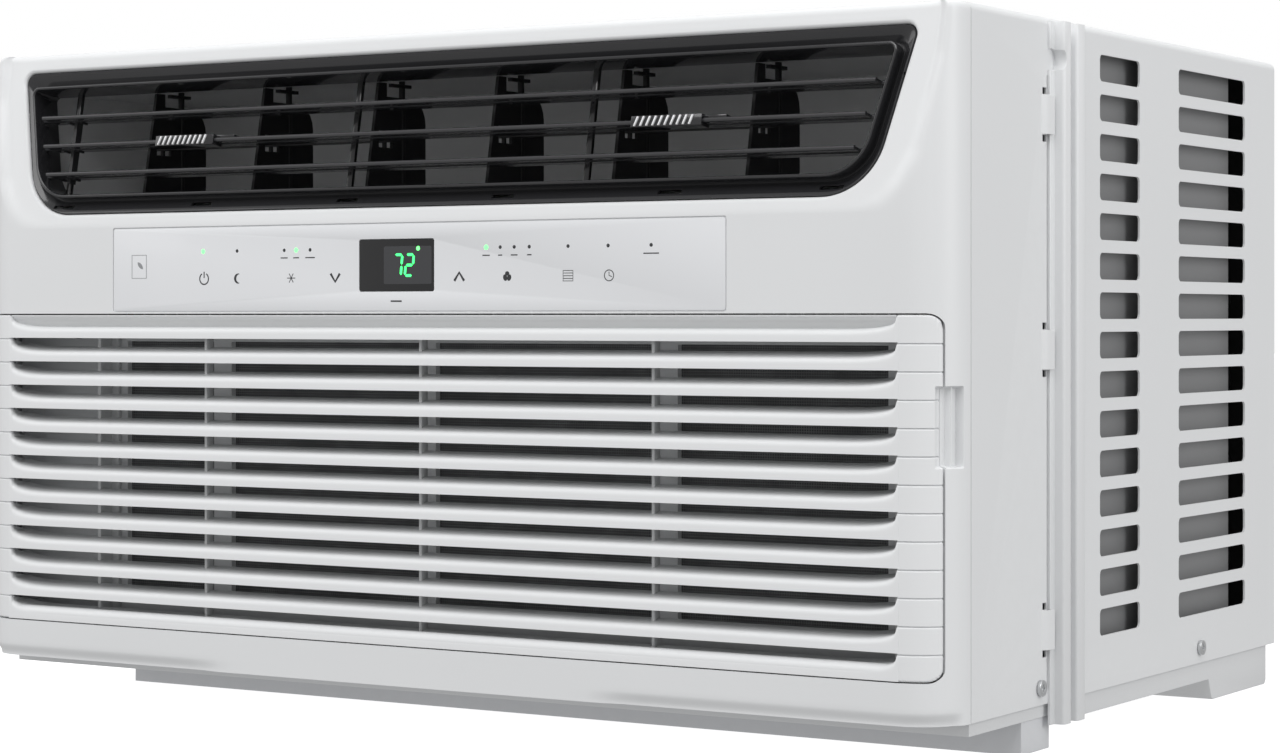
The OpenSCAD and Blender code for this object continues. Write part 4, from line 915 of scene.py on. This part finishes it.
# %% [markdown]
# ## Rails, pan and sill rail
# A channel on each side takes the sliding curtain: two ribs on a strip with a groove between. It is
# drawn as one section and extruded upwards. The pan is a stamped tray that steps down to a rear
# foot, so its side view is extruded across and its inside is cut away again.

# %% Side rails
RIB_OUT, RIB_R = 6.0, 1.4


def rail_section(side):
    """Two round-edged ribs on a strip, drawn outwards from the case wall."""
    y0, y1 = RAIL_Y
    near = RIB_OUT - RIB_R
    pts = [(0, y0), (1.0, y0), (1.2, y0 + 0.3), (1.2, y0 + 3.6), (1.6, y0 + 4.1)]
    pts.append((near - 0.2, y0 + 4.3))
    pts += arc(near, y0 + 5.7, RIB_R, -90, 0, 3) + arc(near, 113.4, RIB_R, 0, 90, 3)
    pts += [(1.4, 115.0), (1.2, 115.3), (1.2, 120.7), (1.4, 121.0)]
    pts += arc(near, 122.4, RIB_R, -90, 0, 3) + arc(near, 128.6, RIB_R, 0, 90, 3)
    pts += [(1.4, 130.2), (1.2, 130.6), (1.2, y1 - 0.3), (1.0, y1), (0, y1)]
    return [(side * (HALF_W + x), y) for x, y in pts]


for side, name in ((1, "right"), (-1, "left")):
    rail = prism("rail_" + name, rail_section(side), "Z", (11, TOP - 2))
    cut(rail, rod("notch", 5, (side * (HALF_W + 3) - 5, RAIL_Y[0] + 2, TOP - 19), "X", 10, 32))
    soften(rail, 0.35, 2, 50)
    smooth(rail, 30)
    done(rail, "case", CASE_WHITE, ["side_rail_" + name])

# %% Base pan and sill rail
PAN_HW = HALF_W - 2


def pan_side(grow, top):
    """The tray's outline, seen from the side and drawn smaller by its sheet for the inside."""
    g, front_y, back_y = grow, FRONT_D + 2.5 + grow, BACK - 7 - grow
    return [(front_y, top), (front_y, FOOT - 6 + g), (111 + g, FOOT - 6 + g), (113 + g, FOOT - 10 + g),
            (BACK - 88 + g, FOOT - 10 + g), (BACK - 84 + g, 1.2 + g), (BACK - 82 + g, g), (back_y - 2, g),
            (back_y, 2 + g), (back_y, top)]


pan = prism("stamped_pan", pan_side(0, FOOT + 12), "X", (-PAN_HW, PAN_HW))
cut(pan, prism("pan_inside", pan_side(SHEET, FOOT + 14), "X", (-PAN_HW + SHEET, PAN_HW - SHEET)))
soften(pan, 0.4, 2, 25)
smooth(pan)
done(pan, "case", PAN_WHITE, ["base_pan"])
sill_x, sill_y = (-HALF_W + 33.5, HALF_W - 2.5), (80.4, 109.5)
sill = block("sill_rail", sill_x, sill_y, (0, FOOT - 6))
cut(sill, block("sill_inside", (sill_x[0] - 2, sill_x[1] - SHEET), (sill_y[0] + SHEET, sill_y[1] - SHEET),
                (SHEET, FOOT)))
soften(sill, 0.45, 3, 40)
smooth(sill)
done(sill, "case", RAIL_GREY, ["bottom_rail"])

# %% [markdown]
# ## The louver frame
# A glossy black ring lines the outlet. Seen in section it is a ledge that slopes back from the
# white lip, then a short rim that stands proud with a rolled edge, and a wall that runs into the
# duct. All the outlines of the outlet have the same number of points, so the section is simply
# lofted ring by ring, as a turned part would be, only round a shape that isn't a circle.

# %% Ring, struts and the small slots in its ledge
RING = [(12, outlet(-1.8)), (12, outlet(-0.4)), (1.3, outlet(-0.4)), (0.9, outlet(-0.7)),
        (1.0, outlet(-1.2)),
        (3.9, rim(1.6)), (4.4, rim(1.0)), (4.5, rim(0.55)), (4.2, rim(0.2)), (3.4, rim(0.05)),
        (-1.2, rim(0)),
        (-1.75, rim(-0.12)), (-2.0, rim(-0.5)), (-2.0, rim(-1.0)), (-1.75, rim(-1.4)), (-1.2, rim(-1.6)),
        (15, rim(-1.6)), (15, rim(0)), (6.6, rim(0.3)), (6.2, rim(1.6)), (3.2, outlet(-1.8)),
        (12, outlet(-1.8))]
ring = tube_of("louver_ring", RING, closed=False)
tools = []
for x in (-216, -128, -40, 48, 136, 216):
    tools.append(block("ledge_slot", (x - 6, x + 6), (-1, 9), (OUTLET_V0 + 3.2, OUTLET_V0 + 5.0), BAND))
for side in (-1, 1):
    for v in (34, 52):
        tools.append(block("clip_slot", (side * 247 - 1.0, side * 247 + 1.0), (-1, 9), (v, v + 7), BAND))
cut(ring, *tools)
struts = [soften(block("strut", (x - 1.5, x + 1.5), (12.6, 15), (RIM_V0 + 0.5, RIM_V1 - 0.5), BAND), 0.5,
                 3)
          for x in (-224.6, -47.9, 84.9)]
ring = join("louver_ring", ring, *struts)
smooth(ring, 40)
done(ring, "case", LOUVER_BLACK, ["louver_frame"])

# %% Finger tabs: a ribbed grip on the middle blade that steers the vanes
BLADE_MID_V = (RIM_V0 + RIM_V1) / 2 - 2
TAB_LEN, TAB_HIGH, TAB_FRONT = 32.0, 5.0, -1.0
RIB_PITCH = 3.1


def finger_tab(side, middle):
    z = (BLADE_MID_V - TAB_HIGH / 2, BLADE_MID_V + TAB_HIGH / 2)
    start, end = middle - TAB_LEN / 2, middle + TAB_LEN / 2
    body = block("tab_body", (start - 1, end + 3), (TAB_FRONT - 2.1, TAB_FRONT + 5), z, BAND)
    cut(body, block("blade_slot", (middle - 30, middle + 30), (TAB_FRONT - 1.4, TAB_FRONT + 6),
                    (BLADE_MID_V - 0.9, BLADE_MID_V + 0.9), BAND),
        rod("bead_slot", 1.4, (middle - 30, TAB_FRONT, BLADE_MID_V), "X", 60, 20, BAND))
    tail = block("tab_tail", (end + 2, end + 14), (TAB_FRONT + 0.2, TAB_FRONT + 5),
                 (BLADE_MID_V + 1.1, z[1]), BAND)
    fork = block("tab_fork", (middle - 2, middle + 2), (TAB_FRONT + 4, TAB_FRONT + 14),
                 (BLADE_MID_V + 1.5, z[1]), BAND)
    body = join(f"finger_tab_{side}", soften(body, 0.45, 3), soften(tail, 0.4, 2), soften(fork, 0.3, 2))
    smooth(body)
    done(body, f"vane_tab_{side}", LOUVER_BLACK, [f"vane_tab_{side}"])
    ribs = []
    for i in range(10):
        x, low, high = start + 2 + RIB_PITCH * i, z[0] + 0.35, z[1] - 0.35
        outline = [(x - 1.25, low), (x - 0.35, low), (x + 1.25, high), (x + 0.35, high)]
        ribs.append(soften(prism("tab_rib", outline, "Y", (TAB_FRONT - 2.95, TAB_FRONT - 1.8), BAND), 0.2,
                           2))
    ribs = join(f"tab_ribs_{side}", *ribs)
    smooth(ribs)
    done(ribs, f"vane_tab_{side}", RIB_WHITE)


for side in ("left", "right"):
    finger_tab(side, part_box(f"vane_tab_{side}")[0].x / MM + TAB_LEN / 2 + 1)

# %% [markdown]
# ## The control strip
# A thin printed film covers the keys, so a finger presses through it. The film is a rounded plate
# in a pocket of the front. Its marks are thin raised ink, drawn with a stroke helper that gives a
# line its width, because real silk-screened ink stands a few hundredths of a millimetre proud.

# %% Film and display window
film = prism("control_overlay", pane(FILM_BOX, FILM_GAP, 1.2, 4), "Y", (0.12, 0.5))
cut(film, prism("film_window", pane(window, 0.2, 1.0, 3), "Y", (-1, 3)))
soften(film, 0.1, 2)
smooth(film)
done(film, "case", FILM, ["control_film"])
glass = prism("display_glass", pane(window, 0.4, 0.9, 4), "Y", (0.12, 1.6))
soften(glass, 0.25, 3)
well_box = (window[0] + 10.8, window[1] + 2, window[2], window[3])
inner = prism("display_well", pane(well_box, 3.6, 0.8, 3), "Y", (0.09, 0.3))
smooth(glass)
done(glass, "case", WINDOW, ["display_window"])
smooth(soften(inner, 0.06, 1))
done(inner, "case", FAN_PLASTIC)

# %% Lit digits, built as seven-segment bars
SEGMENTS = {"a": (0, 1, 1, 1), "b": (1, 1, 1, 0.5), "c": (1, 0.5, 1, 0), "d": (0, 0, 1, 0),
            "e": (0, 0.5, 0, 0),
            "f": (0, 1, 0, 0.5), "g": (0, 0.5, 1, 0.5)}
DIGIT_W, DIGIT_H, BAR = 4.2, 9.6, 1.2


def bar(x, z, key):
    x0, z0, x1, z1 = SEGMENTS[key]
    lean = 0.1
    a = Vector((x + x0 * DIGIT_W + z0 * DIGIT_H * lean, z + z0 * DIGIT_H))
    b = Vector((x + x1 * DIGIT_W + z1 * DIGIT_H * lean, z + z1 * DIGIT_H))
    d = (b - a).normalized()
    n = Vector((-d.y, d.x)) * BAR / 2
    a, b = a + d * 0.25, b - d * 0.25
    outline = [a, a + d * BAR / 2 + n, b - d * BAR / 2 + n, b, b - d * BAR / 2 - n, a + d * BAR / 2 - n]
    return prism("bar", [tuple(p) for p in outline], "Y", (0.03, 0.2))


digits_z = (window[2] + window[3]) / 2 - DIGIT_H / 2
bars = [bar(-9.9, digits_z, k) for k in "abc"] + [bar(-3.4, digits_z, k) for k in "abged"]
digits = join("lit_digits", *bars)
done(digits, "case", DIGIT_GREEN, ["display_digits"])

# %% Lamps
LED_Z = GRILLE_Z1 + 30.1


def lamps(name, xs, material, replaces, r=0.95):
    discs = [soften(rod("lamp", r, (x, 0.03, LED_Z), "Y", 1.2, 24), 0.3, 3, 60) for x in xs]
    lamp = join(name, *discs)
    smooth(lamp, 50)
    return done(lamp, "case", material, replaces)


lamps("lamps_lit", (-123.1, -66.6, 41.9, 4.1), LED_GREEN, ["leds_lit"], 1.15)
lamps("lamps_dark", (-102.2, -73.7, -58.3, 49.6, 57.2, 65.3, 86, 107, 129.2), INK,
      ["leds_dark"], 0.95)

# %% Printed marks
INK_Y = (0.06, 0.2)


def stroke(points, width=0.42, closed=False):
    """A line of ink: the points of a path, given width on both sides."""
    n = len(points)
    left, right = [], []
    for i, p in enumerate(points):
        a = Vector(points[i - 1] if i or closed else p)
        b = Vector(points[(i + 1) % n] if i < n - 1 or closed else p)
        d = (b - a).normalized()
        side = Vector((-d.y, d.x)) * width / 2
        left.append(tuple(Vector(p) + side))
        right.append(tuple(Vector(p) - side))
    if closed:
        return [prism("ink", left[i:i + 2] + right[i:i + 2][::-1], "Y", INK_Y) for i in range(n - 1)] + [
            prism("ink", [left[-1], left[0], right[0], right[-1]], "Y", INK_Y)]
    return [prism("ink", left + right[::-1], "Y", INK_Y)]


def ring_mark(x, z, r, a0=0, a1=360, width=0.42):
    pts = arc(x, z, r, a0, a1, 24)
    return stroke(pts[:-1], width, True) if a1 - a0 == 360 else stroke(pts, width)


def frame_mark(x, z, half_w, half_h, width):
    corners = [(x - half_w, z - half_h), (x + half_w, z - half_h), (x + half_w, z + half_h),
               (x - half_w, z + half_h)]
    return stroke(corners, width, True)


KEY_Z = GRILLE_Z1 + 17
LAMP_BARS = [(-73.7, 4.2), (-66.6, 3.4), (-58.3, 5.6), (41.9, 4.0), (49.6, 2.2), (57.2, 3.6), (65.3, 2.4),
             (129.2, 8.0)]


def marks():
    ink = []
    ink += ring_mark(-122.5, KEY_Z, 2.7, -240, 60, 0.6) + stroke([(-122.5, KEY_Z + 0.4),
                                                                  (-122.5, KEY_Z + 3.4)], 0.6)
    moon = arc(-101.6, KEY_Z, 2.4, 70, 290, 16) + arc(-100.6, KEY_Z, 2.1, 262, 98, 12)
    ink.append(prism("ink", moon, "Y", INK_Y))
    for a in (0, 60, 120):
        t = math.radians(a)
        dx, dz = 2.4 * math.cos(t), 2.4 * math.sin(t)
        ink += stroke([(-69.5 - dx, KEY_Z - dz), (-69.5 + dx, KEY_Z + dz)], 0.38)
    for x, s in ((-43.5, -1), (27.1, 1)):
        ink += stroke([(x - 2.7, KEY_Z - 1.9 * s), (x, KEY_Z + 1.9 * s), (x + 2.7, KEY_Z - 1.9 * s)], 1.2)
    for k in range(3):
        t = math.radians(90 + 120 * k)
        cx, cz = 53.4 + 1.25 * math.cos(t), KEY_Z + 1.25 * math.sin(t)
        turn = [math.radians(d) for d in range(0, 360, 30)]
        leaf = [(cx + 1.15 * math.cos(a + t), cz + 0.6 * math.sin(a) * math.cos(t) + math.sin(a + t))
                for a in turn]
        ink.append(prism("ink", leaf, "Y", INK_Y))
    for d in (-1.2, 0, 1.2):
        ink += stroke([(86 - 2.4, KEY_Z + d), (86 + 2.4, KEY_Z + d)], 0.3)
    ink += frame_mark(86, KEY_Z, 2.6, 2.3, 0.35)
    ink += ring_mark(107.5, KEY_Z, 2.4, width=0.38) + stroke([(107.5, KEY_Z + 1.6), (107.5, KEY_Z),
                                                              (109.0, KEY_Z - 0.6)], 0.34)
    for x, w in LAMP_BARS:
        ink += stroke([(x - w / 2, LED_Z - 3.6), (x + w / 2, LED_Z - 3.6)], 0.5)
    ink += stroke([(-11.4, GRILLE_Z1 + 6.0), (-5.2, GRILLE_Z1 + 6.0)], 0.7)
    return join("printed_marks", *ink)


done(marks(), "case", INK)
leaf_x, leaf_z = -163.4, KEY_Z + 6.1
badge = frame_mark(leaf_x, leaf_z, 4.6, 5.6, 0.4)
leaf = arc(leaf_x - 1.0, leaf_z - 1.2, 3.4, 0, 90, 10) + arc(leaf_x + 2.4, leaf_z + 2.2, 3.4, 180, 270,
                                                             10)[1:-1]
badge.append(prism("ink", leaf, "Y", INK_Y))
done(join("panel_badge", *badge), "case", INK_LIGHT)

# %% [markdown]
# ## Screws
# Each side panel is held by two pan-head screws. The head is a cylinder whose outer ring is
# bevelled into a dome, with a cross cut into it.

# %% Four screws
screws = []
for y, z in SCREWS:
    for side in (-1, 1):
        start = HALF_W + 0.2 if side > 0 else -HALF_W - 2.0
        head = rod("screw", 3.6, (start, y, z), "X", 1.8, 28)
        shank = rod("shank", 1.9, (side * (HALF_W - 4) - 3, y, z), "X", 6, 20)
        out = side * (HALF_W + 1.9)
        cut(head, block("slot_a", (out - 0.9, out + 0.9), (y - 0.42, y + 0.42), (z - 1.9, z + 1.9)),
            block("slot_b", (out - 0.9, out + 0.9), (y - 1.9, y + 1.9), (z - 0.42, z + 0.42)))
        screws += [soften(head, 0.5, 3, 50), shank]
screws = join("panel_screws", *screws)
smooth(screws, 40)
done(screws, "case", ZINC, ["case_screws"])

# %% [markdown]
# ## Finishes for the parts that come straight from the frame
# The moving blades, vanes, coils, fans and the machinery keep their exact shapes. Each only needs
# the finish of what it is made of.

# %% Finishes that only the machinery has
BOARD = finish_of("board_green", (0.015, 0.09, 0.03), 0.4, grain=1400, height=0.2, wear=0.1, patch=0.3)
GALVANISED = finish_of("galvanised_sheet", (0.50, 0.51, 0.53), 0.36, metal=1.0, grain=140, height=0.12,
                       wear=0.4,
                       patch=0.2)

# %% Dress the carried-over parts
DRESS = {BLADE_BLACK: ["blade_upper", "blade_middle", "blade_lower", "blade_link"],
         VANE_BLACK: [f"vane_{i}" for i in range(1, 7)] + ["vane_link_left", "vane_link_right"],
         DUCT_GREY: ["discharge_duct"], NET: ["filter_mesh"], BOARD: ["control_board"],
         ZINC: ["motor_shaft"],
         INNER_GREY: ["partition", "evaporator_cover", "filter_frame", "drain_tray", "blower_housing"],
         ALUMINIUM: ["evaporator_fins", "condenser_fins", "run_capacitor"],
         COPPER: ["evaporator_tubes", "refrigerant_pipes"], COIL_BLACK: ["condenser_tubes"],
         FAN_PLASTIC: ["blower_wheel", "condenser_fan"], RUBBER: ["compressor_mounts", "cord_gland"],
         ENAMEL: ["compressor"], MOTOR_PAINT: ["fan_motor"],
         FILM: [n for n in node if n.startswith("key_")],
         GALVANISED: ["control_box", "fan_shroud", "motor_bracket"]}
for material, names in DRESS.items():
    for n in names:
        node[n].data.materials.clear()
        node[n].data.materials.append(material)
print("dressed", sum(len(names) for names in DRESS.values()), "parts")

# %% [markdown]
# ## Studio
# A plain pale floor that glows a little, a big soft light above and in front, one overhead, a
# weaker one on each side, and a low world light that is white only where the camera looks at it.
# The camera stands level, a little to the right, with a long lens, so upright edges stay upright.

# %% Floor
bpy.ops.object.select_all(action="DESELECT")
bpy.ops.mesh.primitive_circle_add(vertices=64, radius=14, fill_type="NGON")
floor = named("studio_floor")
floor.data.transform(Matrix.Translation((0, 0, cad_lo.z - 0.0002)))
pale = finish_of("studio_pale", (0.86, 0.86, 0.86), 0.7, grain=30, height=0.0, wear=0.0, patch=0.01)
glow = pale.node_tree.nodes["Principled BSDF"]
glow.inputs["Emission Color"].default_value = (1, 1, 1, 1)
glow.inputs["Emission Strength"].default_value = 0.75
floor.data.materials.append(pale)
floor.visible_diffuse = floor.visible_glossy = False
floor.visible_diffuse = floor.visible_glossy = False

# %% Lights
def soft_light(name, at, aim, size, power, colour=(1, 1, 1)):
    light = bpy.data.lights.new(name, "AREA")
    light.shape, light.size, light.size_y = "RECTANGLE", size[0], size[1]
    light.energy, light.color = power, colour
    obj = bpy.data.objects.new(name, light)
    obj.location = at
    obj.rotation_euler = (Vector(aim) - Vector(at)).to_track_quat("-Z", "Y").to_euler()
    bpy.context.scene.collection.objects.link(obj)


soft_light("key_light", (0.2, -1.9, 2.1), (0, 0, 0.15), (2.4, 1.4), 34)
soft_light("top_light", (0.2, 0.1, 2.4), (0, 0, 0.2), (2.2, 2.2), 22)
soft_light("right_light", (2.6, 0.1, 1.0), (0.2, 0, 0.15), (1.2, 1.6), 19)
soft_light("left_light", (-2.2, -1.2, 1.2), (0, 0, 0.15), (1.2, 1.6), 7)
world = bpy.data.worlds.new("studio_air")
bpy.context.scene.world = world
world.use_nodes = True
sky = world.node_tree
air = sky.nodes["Background"]
air.inputs["Color"].default_value = (1, 1, 1, 1)
seen = sky.nodes.new("ShaderNodeLightPath").outputs["Is Camera Ray"]
strength = math_node(sky, "MULTIPLY_ADD", seen, 0.5)
strength.node.inputs[2].default_value = 0.5
sky.links.new(strength, air.inputs["Strength"])
bpy.context.scene.view_settings.view_transform = "Standard"

# %% Camera
CAMERA_TURN = math.radians(31.9)
lens = bpy.data.cameras.new("camera")
lens.lens, lens.sensor_width = 83.98, 36.0
lens.shift_y = -0.0473
camera = bpy.data.objects.new("camera", lens)
camera.location = (0.8108, -1.2981, 0.1905)
camera.rotation_euler = (math.pi / 2, 0, CAMERA_TURN)
bpy.context.scene.collection.objects.link(camera)
bpy.context.scene.camera = camera
